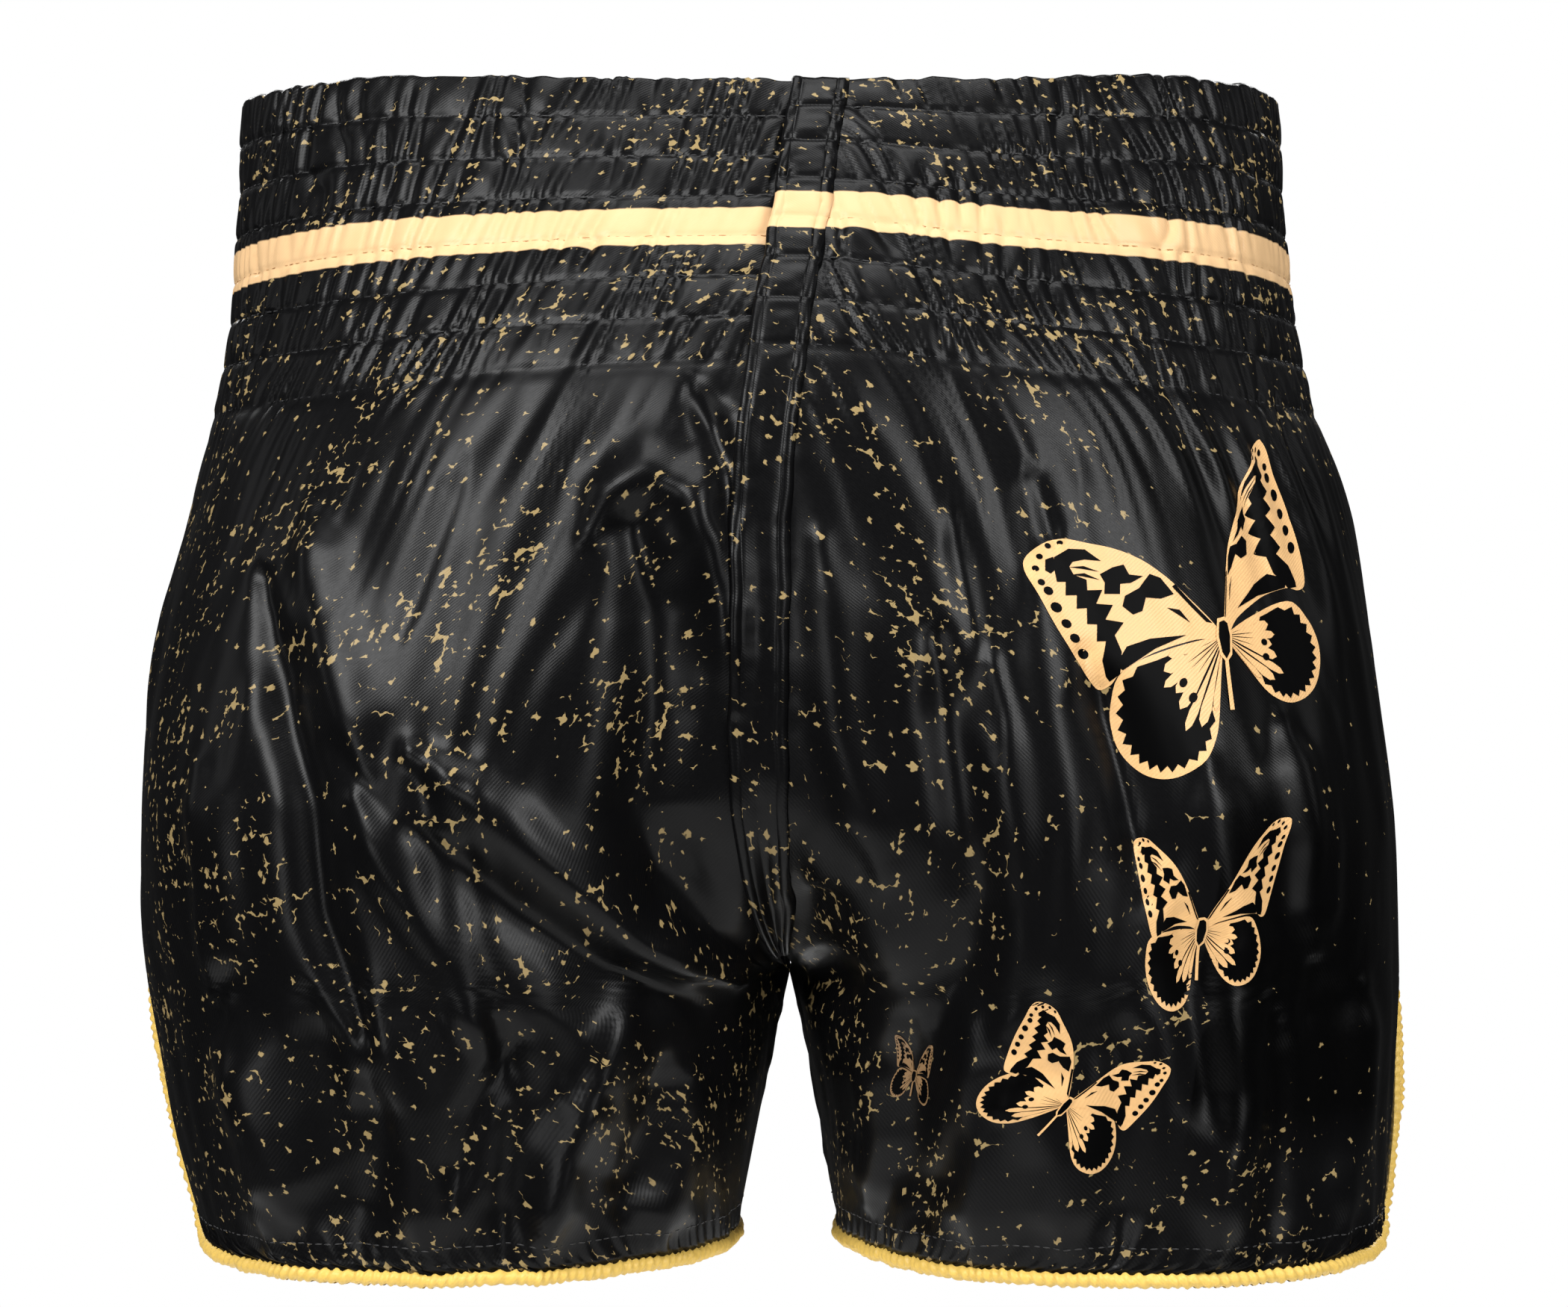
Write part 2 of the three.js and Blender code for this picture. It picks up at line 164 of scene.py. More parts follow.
# ---- shell: four leg panels of black satin, each cut in one piece from the waist fold to the hem ------
# The cloth hangs on a worn body shape. A ring at each depth below the waist runs round it, and the folds
# stand out from that. Depth is measured down the side line; every profile is (depth, value) stations.
MM = 0.001
HEM = 338
BAND = 103
CROTCH = 268
SLIT_TOP = 262
FORK = 262                        # below the waist, where the seat seam meets the inseams
ROW_PITCH = BAND / 7
CORNER = 28                       # rounded lower corner at the slit
SATIN = 0.4                       # thickness of the cloth
SEAM_GAP = 0.15                   # from a panel's edge to the middle of its seam
SEAM_X = {-1: [[0, 16], [49, 11], [103, 4], [160, -1], [235, 0], [268, 7]], 1: [[0, 0], [160, 0], [268, 7]]}
SEAM_Y = {
    -1: [[0, -72], [49, -90], [103, -112], [155, -121], [200, -117], [235, -97], [256, -55], [268, -4]],
    1: [[0, 80], [49, 88], [103, 97], [155, 100], [200, 98], [235, 86], [256, 50], [268, -4]],
}
SEAM_Z = {
    -1: [[0, -8.5], [49, -47], [103, -90], [160, -142], [200, -182], [235, -224], [256, -253], [268, -262]],
    1: [[0, -14], [49, -58], [103, -106], [160, -157], [200, -193], [235, -230], [256, -254], [268, -262]],
}
SIDE_X = {
    -1: [[0, -155], [60, -157], [95, -161], [130, -169], [165, -178], [200, -183], [240, -184], [290, -176],
         [338, -165]],
    1: [[0, 152], [60, 155], [95, 160], [130, 172], [165, 178.5], [200, 183], [240, 186], [290, 185],
        [338, 182]],
}
INSEAM_X = {-1: [[268, 7], [300, 0], [338, -8]], 1: [[268, 7], [300, 15], [338, 22]]}
SEAM_TURN = [[0, 0], [103, 0], [160, 4], [200, 12], [225, 24], [246, 54], [252, 70], [256, 76], [260, 81],
             [268, 90]]
SEAM_HANDLE = [[0, 92], [103, 95], [200, 100], [225, 98], [235, 84], [246, 74], [252, 78], [256, 94],
               [260, 114], [268, 152], [300, 146], [338, 134]]
REACH = {
    -1: [[0, 52], [103, 82], [160, 97], [200, 107.5], [235, 115], [256, 117], [268, 116.5], [300, 110],
         [338, 101]],
    1: [[0, 57], [103, 77], [160, 85], [200, 94], [235, 103], [256, 107], [268, 108], [300, 103.5],
        [338, 95]],
}
SIDES = {"left": -1, "right": 1}
FACES = {"back": -1, "front": 1}


def eased(share):
    """Turns an even rise from 0 to 1 into a soft one."""
    return share * share * (3 - 2 * share)


def hump(distance, width):
    """A smooth rise to 1 where the distance is 0."""
    return np.exp(-((distance / width) ** 2))


def unit(vectors):
    return vectors / np.linalg.norm(vectors, axis=-1, keepdims=True)


def along(stations, at):
    """Smooth curve through (position, value) stations, flat where it turns back."""
    d, v = np.array(stations, float).T
    step = np.diff(d)
    slope = np.diff(v) / step
    within = np.where(slope[:-1] * slope[1:] > 0, (slope[:-1] + slope[1:]) / 2, 0)
    m = np.concatenate([slope[:1], within, slope[-1:]])
    at = np.clip(at, d[0], d[-1])
    i = np.clip(np.searchsorted(d, at, side="right") - 1, 0, len(step) - 1)
    t = (at - d[i]) / step[i]
    rise = (2 * t**3 - 3 * t**2 + 1) * v[i] + (3 * t**2 - 2 * t**3) * v[i + 1]
    return rise + ((t**3 - 2 * t**2 + t) * m[i] + (t**3 - t**2) * m[i + 1]) * step[i]


TABLE_COLUMNS = 385


def body_rings(side, face, depth):
    """Points round a quarter of the body at each depth, from the centre seam to the side."""
    below = depth >= CROTCH
    drop = np.clip((depth - CROTCH) / (HEM - CROTCH), 0, 1)
    level = 0 * depth
    seam = np.stack([
        np.where(below, along(INSEAM_X[side], depth), along(SEAM_X[face], depth)),
        np.where(below, -4 * (1 - drop), along(SEAM_Y[face], depth)),
        np.where(below, -FORK - drop * (HEM - FORK), along(SEAM_Z[face], depth)),
    ], axis=-1)
    edge = np.stack([along(SIDE_X[side], depth), level, -depth], axis=-1)
    turn = np.radians(along(SEAM_TURN, depth))
    seam_handle = along(SEAM_HANDLE, depth)
    side_handle = (along(REACH[face], depth) - abs(seam[:, 1]) / 2) * 8 / 3 - seam_handle * np.sin(turn)
    leave = np.stack([side * np.cos(turn), face * np.sin(turn), level], axis=-1)
    first = seam + leave * seam_handle[:, None]
    second = edge + np.stack([level, face * side_handle, level], axis=-1)
    t = np.linspace(0, 1, TABLE_COLUMNS)[None, :, None]
    seam, first, second, edge = (p[:, None, :] for p in (seam, first, second, edge))
    return (1 - t) ** 3 * seam + 3 * t * (1 - t) ** 2 * first + 3 * t**2 * (1 - t) * second + t**3 * edge


body_table = {}                   # for each side and face: points, ways out, and lengths of the rings
for side in SIDES.values():
    for face in FACES.values():
        rings = body_rings(side, face, np.arange(HEM + 1.0))
        gaps = np.linalg.norm(np.diff(rings, axis=1), axis=2)
        run = np.concatenate([np.zeros((len(rings), 1)), np.cumsum(gaps, axis=1)], axis=1)
        even = np.linspace(0, 1, TABLE_COLUMNS)
        even_rings = [[np.interp(even * r[-1], r, xyz) for xyz in ring.T] for r, ring in zip(run, rings)]
        points = np.array(even_rings).transpose(0, 2, 1)
        # the rings are eased into each other, except beside the seat seam
        rest = eased(np.clip((np.arange(TABLE_COLUMNS) - 30) / 100, 0, 1)[None, :, None])
        for _ in range(60):
            softer = points.copy()
            softer[1:-1] = (points[:-2] + 2 * points[1:-1] + points[2:]) / 4
            points = points + rest * (softer - points)
        out = unit(np.cross(np.gradient(points, axis=1), np.gradient(points, axis=0)) * side * face)
        body_table[side, face] = (points, out, run[:, -1])


def look_up(table, across, down):
    """Value of a table between its rows and columns; across and down count columns and rows."""
    rows, columns = table.shape[:2]
    i = np.clip(down.astype(int), 0, rows - 2)
    j = np.clip(across.astype(int), 0, columns - 2)
    a = (across - j)[:, None]
    d = (down - i)[:, None]
    return ((table[i, j] * (1 - a) + table[i, j + 1] * a) * (1 - d)
            + (table[i + 1, j] * (1 - a) + table[i + 1, j + 1] * a) * d)


def quarter_length(side, face, depth):
    """Length of the cloth's ring from the centre seam to the side, without its folds."""
    lengths = body_table[side, face][2]
    return np.interp(depth, np.arange(len(lengths)), lengths)


def noise(x, y, seed):
    """Smooth random field from -1 to 1, about one bump per unit."""
    lattice = np.random.default_rng(seed).uniform(-1, 1, (64, 64))
    i, j = np.floor(x).astype(int), np.floor(y).astype(int)
    a, b = eased(x - i), eased(y - j)
    i, j, i2, j2 = i % 64, j % 64, (i + 1) % 64, (j + 1) % 64
    return ((lattice[i, j] * (1 - a) + lattice[i2, j] * a) * (1 - b)
            + (lattice[i, j2] * (1 - a) + lattice[i2, j2] * a) * b)


def stroke(x, z, route, near, far, height):
    """A fold along a route of (x, z) points as seen from behind. near and far are its widths on the
    left and right of the direction of travel, and it fades out towards both ends."""
    best = np.full(x.shape, 1e9)
    across = np.zeros(x.shape)
    share = np.zeros(x.shape)
    route = np.array(route, float)
    run = np.concatenate([[0], np.cumsum(np.linalg.norm(np.diff(route, axis=0), axis=1))])
    for k in range(len(route) - 1):
        start, step = route[k], route[k + 1] - route[k]
        length = np.linalg.norm(step)
        t = np.clip(((x - start[0]) * step[0] + (z - start[1]) * step[1]) / length**2, 0, 1)
        dx, dz = x - start[0] - t * step[0], z - start[1] - t * step[1]
        distance = np.hypot(dx, dz)
        closer = distance < best
        best = np.where(closer, distance, best)
        across = np.where(closer, (step[0] * dz - step[1] * dx) / length, across)
        share = np.where(closer, (run[k] + t * length) / run[-1], share)
    width = np.maximum(np.where(across > 0, near, far), 2.6)
    taper = 0.45 + 0.55 * eased(np.clip(np.minimum(share, 1 - share) * 5, 0, 1))
    return height * taper * hump(best, width * taper)


# Folds as (route, width to its left, width to its right, height): a valley has a negative height.
FOLDS = {
    (-1, -1): [
        ([(-46, -138), (-40, -127), (-30, -122), (-20, -127), (-13, -141), (-9, -163), (-7, -184)],
         8, 5, 3.6),
        ([(-35, -136), (-28, -160), (-27, -186), (-31, -212), (-23, -234), (-8, -250)], 13, 11, -7.5),
        ([(-21, -94), (-14, -107), (-9, -121), (-9, -140)], 4, 4, -3),
        ([(-93, -196), (-76, -208), (-55, -227), (-33, -246), (-9, -260)], 8, 7, 4.6),
        ([(-92, -217), (-70, -236), (-46, -253), (-18, -267)], 6, 8, -3.6),
        ([(-109, -208), (-100, -228), (-84, -251), (-74, -279)], 7, 5, 3),
        ([(-138, -148), (-132, -181), (-123, -209), (-120, -239), (-107, -272)], 7, 5, -4.5),
        ([(-124, -130), (-118, -165), (-106, -200)], 9, 6, 3),
        ([(-80, -118), (-89, -143), (-97, -166)], 1.6, 5, -0.8),
        ([(-65, -274), (-79, -295), (-84, -318)], 5, 5, -2.5),
        ([(-46, -285), (-56, -305), (-60, -328)], 6, 6, 2.5),
        ([(-150, -280), (-135, -300), (-128, -322)], 10, 8, 2.5),
        ([(-107, -285), (-104, -305), (-108, -330)], 6, 6, -2),
        ([(-28, -282), (-30, -300), (-38, -322)], 7, 6, -3),
        ([(-155, -200), (-150, -230), (-152, -262)], 8, 6, 2.5),
        ([(-36, -262), (-47, -290), (-58, -318), (-62, -336)], 9, 5, 3.6),
        ([(-72, -262), (-66, -292), (-70, -334)], 8, 6, -3.4),
        ([(-104, -262), (-95, -292), (-92, -334)], 10, 6, 3.4),
        ([(-122, -262), (-117, -296), (-112, -334)], 6, 9, -3.0),
        ([(-146, -266), (-140, -300), (-134, -334)], 8, 6, 3.0),
        ([(-20, -285), (-22, -310), (-30, -334)], 6, 5, 2.6),
    ],
    (1, -1): [
        ([(9, -232), (14, -250), (22, -268)], 9, 8, -5),
        ([(15, -140), (20, -190), (33, -228)], 8, 8, 3),
        ([(46, -165), (52, -202), (56, -237), (46, -272)], 9, 7, -4),
        ([(60, -172), (66, -213), (70, -250), (66, -290)], 7, 8, 3),
        ([(86, -170), (97, -204), (103, -234)], 8, 7, -3),
        ([(71, -119), (75, -128), (79, -140)], 1.6, 4, -1.3),
        ([(51, -132), (56, -160), (63, -198)], 2, 5, -1.5),
        ([(91, -178), (96, -198), (101, -220)], 1.8, 5, -1.3),
        ([(40, -270), (41, -300), (44, -325)], 8, 8, -3),
        ([(70, -282), (80, -306), (82, -330)], 8, 8, 2.5),
        ([(112, -240), (118, -270), (124, -300)], 8, 7, -2.5),
        ([(140, -190), (148, -220), (150, -250)], 8, 7, 3),
        ([(152, -255), (156, -285), (152, -318)], 9, 7, -2.5),
        ([(27, -280), (32, -305), (30, -325)], 5, 6, 2.5),
        ([(56, -270), (60, -300), (60, -334)], 8, 6, 3.2),
        ([(95, -262), (98, -296), (96, -334)], 7, 7, -3.2),
        ([(124, -250), (128, -290), (122, -334)], 9, 6, 3.4),
        ([(140, -268), (142, -300), (138, -334)], 6, 7, -2.8),
        ([(118, -200), (124, -230), (134, -262)], 9, 6, 2.6),
        ([(166, -262), (166, -296), (162, -332)], 7, 6, 2.6),
        ([(73, -150), (78, -196), (84, -242), (80, -276)], 10, 8, 2.4),
    ],
    (-1, 1): [
        ([(-12, -150), (-24, -190), (-22, -230), (-8, -256)], 9, 13, -6),
        ([(-88, -210), (-60, -236), (-32, -254), (-8, -262)], 7, 5, 4.5),
        ([(-120, -150), (-112, -200), (-100, -250)], 8, 8, -4),
        ([(-58, -160), (-66, -205), (-78, -250)], 9, 7, 3),
        ([(-50, -284), (-58, -306), (-62, -328)], 6, 7, -2.5),
        ([(-130, -270), (-128, -300), (-122, -325)], 9, 9, 2.5),
        ([(-150, -180), (-152, -220), (-148, -255)], 7, 7, 3),
        ([(-30, -276), (-36, -304), (-40, -332)], 8, 6, 3.2),
        ([(-92, -266), (-96, -300), (-92, -332)], 9, 7, 3.2),
        ([(-74, -210), (-84, -250), (-80, -300)], 9, 8, -3),
    ],
    (1, 1): [
        ([(14, -160), (26, -200), (26, -235), (14, -260)], 11, 9, -5),
        ([(90, -204), (66, -232), (40, -252), (16, -262)], 5, 7, 4.5),
        ([(118, -140), (116, -190), (108, -240)], 8, 8, -4),
        ([(60, -150), (70, -200), (84, -245)], 8, 8, 3),
        ([(60, -282), (70, -304), (74, -328)], 7, 6, -2.5),
        ([(140, -262), (138, -295), (134, -325)], 9, 9, 2.5),
        ([(150, -176), (153, -215), (150, -250)], 7, 7, 3),
        ([(34, -276), (40, -304), (44, -332)], 8, 6, 3.2),
        ([(98, -264), (104, -298), (102, -332)], 9, 7, 3.2),
        ([(78, -206), (88, -250), (86, -300)], 9, 8, -3),
    ],
}
PLEAT = 6.6                       # pitch of the gathers on the elastic
PLACED_FOLD_HEIGHT = 1.3          # every placed fold's own height is multiplied by this
LONG_PLEAT = 23                   # pitch of the soft pleats that hang below the band
HEM_PUCKER = 5.2                  # pitch of the puckers along the hem and inside the lining


def gathered(code, grain, depth, calm):
    """The waistband's gathers, and the soft pleats that they open into below it."""
    row = np.clip(depth / ROW_PITCH, 0, 7)
    from_row = np.abs(row - np.round(row)) * ROW_PITCH
    pinch = hump(from_row, 0.9) * (row > 0.3)
    swell = np.where(depth < BAND, np.sin(np.pi * (row - np.floor(row))) ** 0.7, 0)
    phase = grain / PLEAT + 1.1 * noise(grain / 17, depth / 40, code)
    phase = phase + 0.5 * noise(grain / 7, np.round(row - 0.5) * 3.7, code + 1)
    pleat = np.abs(np.sin(np.pi * phase)) ** 0.65 - 0.62
    patchy = np.clip(0.55 + 0.6 * noise(grain / 12, depth / 15, code + 3), 0.1, 2)
    fine = noise(grain / 2.4, depth / 9, code + 2)
    in_band = np.clip((BAND - depth) / 4 + 1, 0, 1)
    gather = (pleat * 2.2 * patchy + 0.25 * fine) * (0.74 + 0.26 * swell)
    fall = np.maximum(depth - BAND, 0)
    return (in_band * (0.25 * swell - 0.4 * pinch + gather * calm)
            + (1 - in_band) * np.exp(-fall / 24) * pleat * 1.5 * patchy * calm)


def stand_out(side, face, arc, depth, x, z):
    """How far the folded cloth stands out from the body, in millimetres."""
    code = 10 * (side + 2) + face
    grain = quarter_length(side, face, depth) - arc         # distance from the side seam, along the weft
    calm = (1 - hump(arc, 6)) * (1 - hump(grain, np.where(depth < BAND, 1.5, 5)))
    fall = np.maximum(depth - BAND, 0)
    out = gathered(code, grain, depth, calm)
    # long soft pleats hang from the gathers, and the cloth stands off the elastic
    long_phase = grain / LONG_PLEAT + 1.4 * noise(grain / 41, depth / 120, code + 4)
    hang = np.sin(2 * np.pi * long_phase) * (0.55 + 0.6 * noise(grain / 33, depth / 60, code + 5))
    out += np.clip(fall / 22, 0, 1) * (1.5 * hang * np.exp(-fall / 60) + 0.3 * hang) * calm
    out += 1.5 * (1 - np.exp(-fall / 12)) * np.exp(-fall / 70)
    # placed folds, then the cloth's own unevenness
    loose = np.clip(fall / 20, 0, 1) * (1 - 0.75 * hump(arc, 8)) * (1 - hump(grain, 9))
    for route, near, far, height in FOLDS[side, face]:
        out += PLACED_FOLD_HEIGHT * stroke(x, z, route, near, far, height) * loose
    uneven = 1.4 * noise(grain / 34, depth / 52, code + 6) + 0.5 * noise(grain / 14, depth / 30, code + 7)
    out += np.clip(fall / 30, 0, 1) * calm * (uneven + 0.14 * noise(grain / 5, depth / 12, code + 8))
    # the seat seam draws in, and small puckers lie beside it
    out -= 1.1 * hump(arc, 10) * (depth < CROTCH)
    out += 0.35 * hump(arc - 10, 5) * noise(depth / 4.5, arc / 9, code + 9) * (depth > BAND)
    # the slit's free edges flare, the front one a little more, and the hem puckers above its stitching
    flare = 3.0 + (1.6 * hump(depth - 300, 13) if face > 0 else 0)
    out += flare * hump(grain, 9) * eased(np.clip((depth - SLIT_TOP + 6) / 26, 0, 1))
    rise = HEM - depth
    turns = grain / HEM_PUCKER + 0.9 * noise(grain / 11, rise / 30, code + 10) + rise / 40
    pucker = np.abs(np.sin(np.pi * turns)) ** 0.8
    return out + 1.1 * hump(rise - 3, 4) * (pucker - 0.6) * calm


def panel_lift(side, face, arc, depth):
    """The back right panel was sewn a little higher than the left one at the centre seam."""
    if (side, face) != (1, -1):
        return 0 * arc
    return along([[0, 0.4], [15, 3], [58, 5], [103, 4.3], [160, 0]], depth) * hump(arc, 42)


def rim_dip(face, share, depth):
    """The waistband's rows lie lower at the top towards the sides and the front, and higher at its foot."""
    turn = eased(np.clip((share - 0.55) / 0.45, 0, 1)) if face < 0 else 1 + 0.25 * (1 - share)
    return along([[0, 6], [50, 3], [103, -3.5], [150, 0]], depth) * turn


def cloth(side, face, arc, depth, lift=0.0, folded=True):
    """Points in millimetres on the folded shell, arc from the centre seam, lifted off its face."""
    points, out, _ = body_table[side, face]
    length = quarter_length(side, face, depth)
    across = np.clip(arc / length * (TABLE_COLUMNS - 1), 0, TABLE_COLUMNS - 1)
    down = np.clip(depth, 0, len(points) - 1)
    base = look_up(points, across, down)
    raised = stand_out(side, face, arc, depth, base[:, 0], base[:, 2]) if folded else 0
    ruffle = folded * 0.55 * noise((length - arc) / 4.5, depth * 0, 10 * (side + 2) + face)
    base[:, 2] += panel_lift(side, face, arc, depth) + ruffle * np.exp(-depth / 5)
    base[:, 2] -= rim_dip(face, across / (TABLE_COLUMNS - 1), depth)
    return base + look_up(out, across, down) * np.broadcast_to(raised + lift, arc.shape)[:, None]


def slit_inset(depth):
    """How far a panel's free edge stands back from the side line at a depth."""
    rise = np.clip(HEM - depth, 0, None)
    corner = np.clip(CORNER - rise, 0, CORNER)
    inset = 3.2 + 2.2 * np.clip((depth - SLIT_TOP) / (HEM - SLIT_TOP), 0, 1)
    return np.where(depth > SLIT_TOP, inset + CORNER - np.sqrt(CORNER**2 - corner**2), SEAM_GAP)


def free_reach(side, face, depth):
    """Arc of a panel's side edge: the side seam, or the slit's free edge below it."""
    return quarter_length(side, face, depth) - slit_inset(depth)


def new_piece(name, mesh):
    """A smooth-shaded piece of the shorts."""
    mesh.polygons.foreach_set("use_smooth", [True] * len(mesh.polygons))
    return show(name, mesh)


def grid_piece(name, columns, rows, place, *where, closed_round=False):
    """A grid of cloth shaped by place(across, down, *where), where across and down run from 0 to 1. place
    gives points and the print map, both in millimetres. closed_round joins the edges that meet."""
    bm = bmesh.new()
    bmesh.ops.create_grid(bm, x_segments=columns, y_segments=rows, size=0.5)
    mesh = bpy.data.meshes.new(name)
    bm.to_mesh(mesh)
    flat = np.empty(len(mesh.vertices) * 3, np.float32)
    mesh.vertices.foreach_get("co", flat)
    flat = flat.reshape(-1, 3)
    across = (flat[:, 0] - flat[:, 0].min()) / np.ptp(flat[:, 0])
    down = (flat[:, 1].max() - flat[:, 1]) / np.ptp(flat[:, 1])
    points, print_map = place(across, down, *where)
    mesh.vertices.foreach_set("co", (points * MM).astype(np.float32).ravel())
    corner = np.empty(len(mesh.loops), np.int32)
    mesh.loops.foreach_get("vertex_index", corner)
    layer = mesh.uv_layers.new(name="cloth_mm")
    layer.data.foreach_set("uv", print_map[corner].astype(np.float32).ravel())
    mesh.update()
    if closed_round:
        bm.clear()
        bm.from_mesh(mesh)
        bmesh.ops.remove_doubles(bm, verts=bm.verts, dist=2e-6)
        bmesh.ops.recalc_face_normals(bm, faces=bm.faces)
        bm.to_mesh(mesh)
    bm.free()
    return new_piece(name, mesh)


def face_towards(piece, way):
    """Turns a piece's faces over if its middle one looks away from the way given."""
    faces = piece.data.polygons
    if faces[len(faces) // 2].normal.dot(Vector(way)) < 0:
        piece.data.flip_normals()


def make_up(piece, material, node, thickness=0.0):
    """Gives a piece its material and wall, hangs it on the root body, and hides the model's part that it
    stands in for.
    """
    piece.data.materials.append(material)
    if thickness:
        wall = piece.modifiers.new("thickness", "SOLIDIFY")
        wall.thickness = thickness * MM
        wall.offset = -1.0
        wall.use_even_offset = False
    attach(piece, "root")
    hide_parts(node)


def new_pattern(name, inputs, outputs):
    """An empty node group with named sockets: its tree, what comes in, and its way out."""
    group = bpy.data.node_groups.new(name, "ShaderNodeTree")
    for way, sockets in (("INPUT", inputs), ("OUTPUT", outputs)):
        for socket, kind in sockets.items():
            group.interface.new_socket(socket, in_out=way, socket_type="NodeSocket" + kind)
    return group, group.nodes.new("NodeGroupInput").outputs, group.nodes.new("NodeGroupOutput")


def maths(tree, operation, *values):
    """One sum on shader values."""
    return add_node(tree, "Math", dict(enumerate(values)), operation=operation).outputs[0]


def blend(tree, share, low, high):
    """A colour between two colours."""
    return add_node(tree, "Mix", {"Factor": share, "A": low, "B": high}, data_type="RGBA").outputs["Result"]


def satin_weave():
    """Node group: the fine slanting twill of satin, and slight slubs, on a map in millimetres."""
    group, given, result = new_pattern("satin_weave", {"Map": "Vector"}, {"Height": "Float", "Slub": "Float"})
    twill = add_node(group, "TexWave",
                     {"Scale": 0.55, "Distortion": 0.5, "Detail": 1.0, "Vector": given["Map"]},
                     wave_type="BANDS", bands_direction="DIAGONAL")
    slub = add_node(group, "TexNoise", {"Scale": 0.8, "Detail": 3.0, "Vector": given["Map"]})
    plug(group, result, {"Height": twill.outputs["Fac"], "Slub": slub.outputs["Fac"]})
    return group


# Chips: cells per mm, unevenness of the cells, and the gap that is a chip where they are sparse and dense.
CHIP_GAPS = ((0.27, 0.60, 0.80, 0.635), (0.46, 0.68, 0.87, 0.72))
SPLINTERS_PER_MM = 0.26
CLUMPS_PER_MM = 0.032
CHIP_EDGE = 30                    # sharpness of a chip's edge
SPLINTER_EDGE = 14


def chip_print():
    """Node group: a scatter of small angular chips, thick in some places and thin in others."""
    group, given, result = new_pattern("chip_print", {"Map": "Vector", "Amount": "Float"}, {"Mask": "Float"})
    plain_map, amount = given["Map"], given["Amount"]
    clump = add_node(group, "TexNoise",
                     {"Scale": CLUMPS_PER_MM, "Detail": 2.5, "Roughness": 0.6, "Vector": plain_map})
    warp = add_node(group, "TexNoise", {"Scale": 0.6, "Detail": 1.0, "Vector": plain_map})
    warped = add_node(group, "VectorMath", {0: warp.outputs["Color"], 1: (2.4, 2.4, 0), 2: plain_map},
                      operation="MULTIPLY_ADD").outputs["Vector"]
    thick = ranged(group, clump.outputs["Fac"], (0.42, 0.64))

    # most chips are the gaps left between pebble-shaped cells
    masks = []
    for per_mm, uneven, sparse, dense in CHIP_GAPS:
        cells = add_node(group, "TexVoronoi", {"Scale": per_mm, "Randomness": uneven, "Vector": warped},
                         voronoi_dimensions="2D")
        crowded = maths(group, "MULTIPLY", maths(group, "MULTIPLY", thick, amount), sparse - dense)
        spare = maths(group, "MULTIPLY", maths(group, "SUBTRACT", 1.0, amount), 0.07)
        least = maths(group, "ADD", maths(group, "SUBTRACT", sparse, crowded), spare)
        gap = maths(group, "SUBTRACT", cells.outputs["Distance"], least)
        masks.append(maths(group, "MULTIPLY", gap, CHIP_EDGE))

    # and some are small solid splinters
    cells = add_node(group, "TexVoronoi", {"Scale": SPLINTERS_PER_MM, "Vector": warped},
                     voronoi_dimensions="2D", distance="MANHATTAN")
    pick = add_node(group, "SeparateColor", {"Color": cells.outputs["Color"]}).outputs
    wanted = maths(group, "ADD", maths(group, "MULTIPLY", thick, 0.42), 0.07)
    there = maths(group, "LESS_THAN", pick[0], maths(group, "MULTIPLY", wanted, amount))
    large = maths(group, "MULTIPLY", maths(group, "MULTIPLY", pick[1], pick[2]), 0.30)
    size = maths(group, "MULTIPLY", maths(group, "ADD", large, 0.12), there)
    inside = maths(group, "SUBTRACT", size, cells.outputs["Distance"])
    splinters = maths(group, "MULTIPLY", inside, SPLINTER_EDGE)
    most = maths(group, "MAXIMUM", maths(group, "MAXIMUM", *masks), splinters)
    plug(group, result, {"Mask": add_node(group, "Clamp", {"Value": most}).outputs["Result"]})
    return group


weave_group = satin_weave()
chip_group = chip_print()


def satin_finish(name, constants, roughness, bump_strength, bump_height):
    """Polyester satin: a soft gloss broken by twill and slubs. Gives the material, its tree, the cloth's map
    and the slubs."""
    material, tree = finish(name, constants)
    cloth_map = add_node(tree, "UVMap", {}, uv_map="cloth_mm").outputs["UV"]
    weave = add_node(tree, "Group", {"Map": cloth_map}, node_tree=weave_group).outputs
    bump = add_node(tree, "Bump",
                    {"Strength": bump_strength, "Distance": bump_height, "Height": weave["Height"]})
    shade(tree, {"Normal": bump.outputs["Normal"], "Roughness": ranged(tree, weave["Slub"], given=roughness)})
    return material, tree, cloth_map, weave["Slub"]


BLACK_SATIN = (0.0030, 0.0030, 0.0033, 1)
DEEP_BLACK = (0.0008, 0.0008, 0.0009, 1)
KHAKI = (0.31, 0.225, 0.10, 1)
PEACH_GOLD = (0.73, 0.475, 0.245, 1)
STRIPE = (49, 62.5)               # depth of the printed band's upper and lower edges
PLAIN_WIDTH = 140                 # reach of the print's plain ground from the right side seam
PLAIN_DEPTH = (118, 302)          # where it starts and ends
PRINT_OFFSET = (431, 273, 0)      # the right panels are cut from another stretch of the print


def black_satin(name):
    constants = {"Base Color": BLACK_SATIN, "Specular IOR Level": 0.14}
    return satin_finish(name, constants, (0.25, 0.37), 0.2, 0.00006)


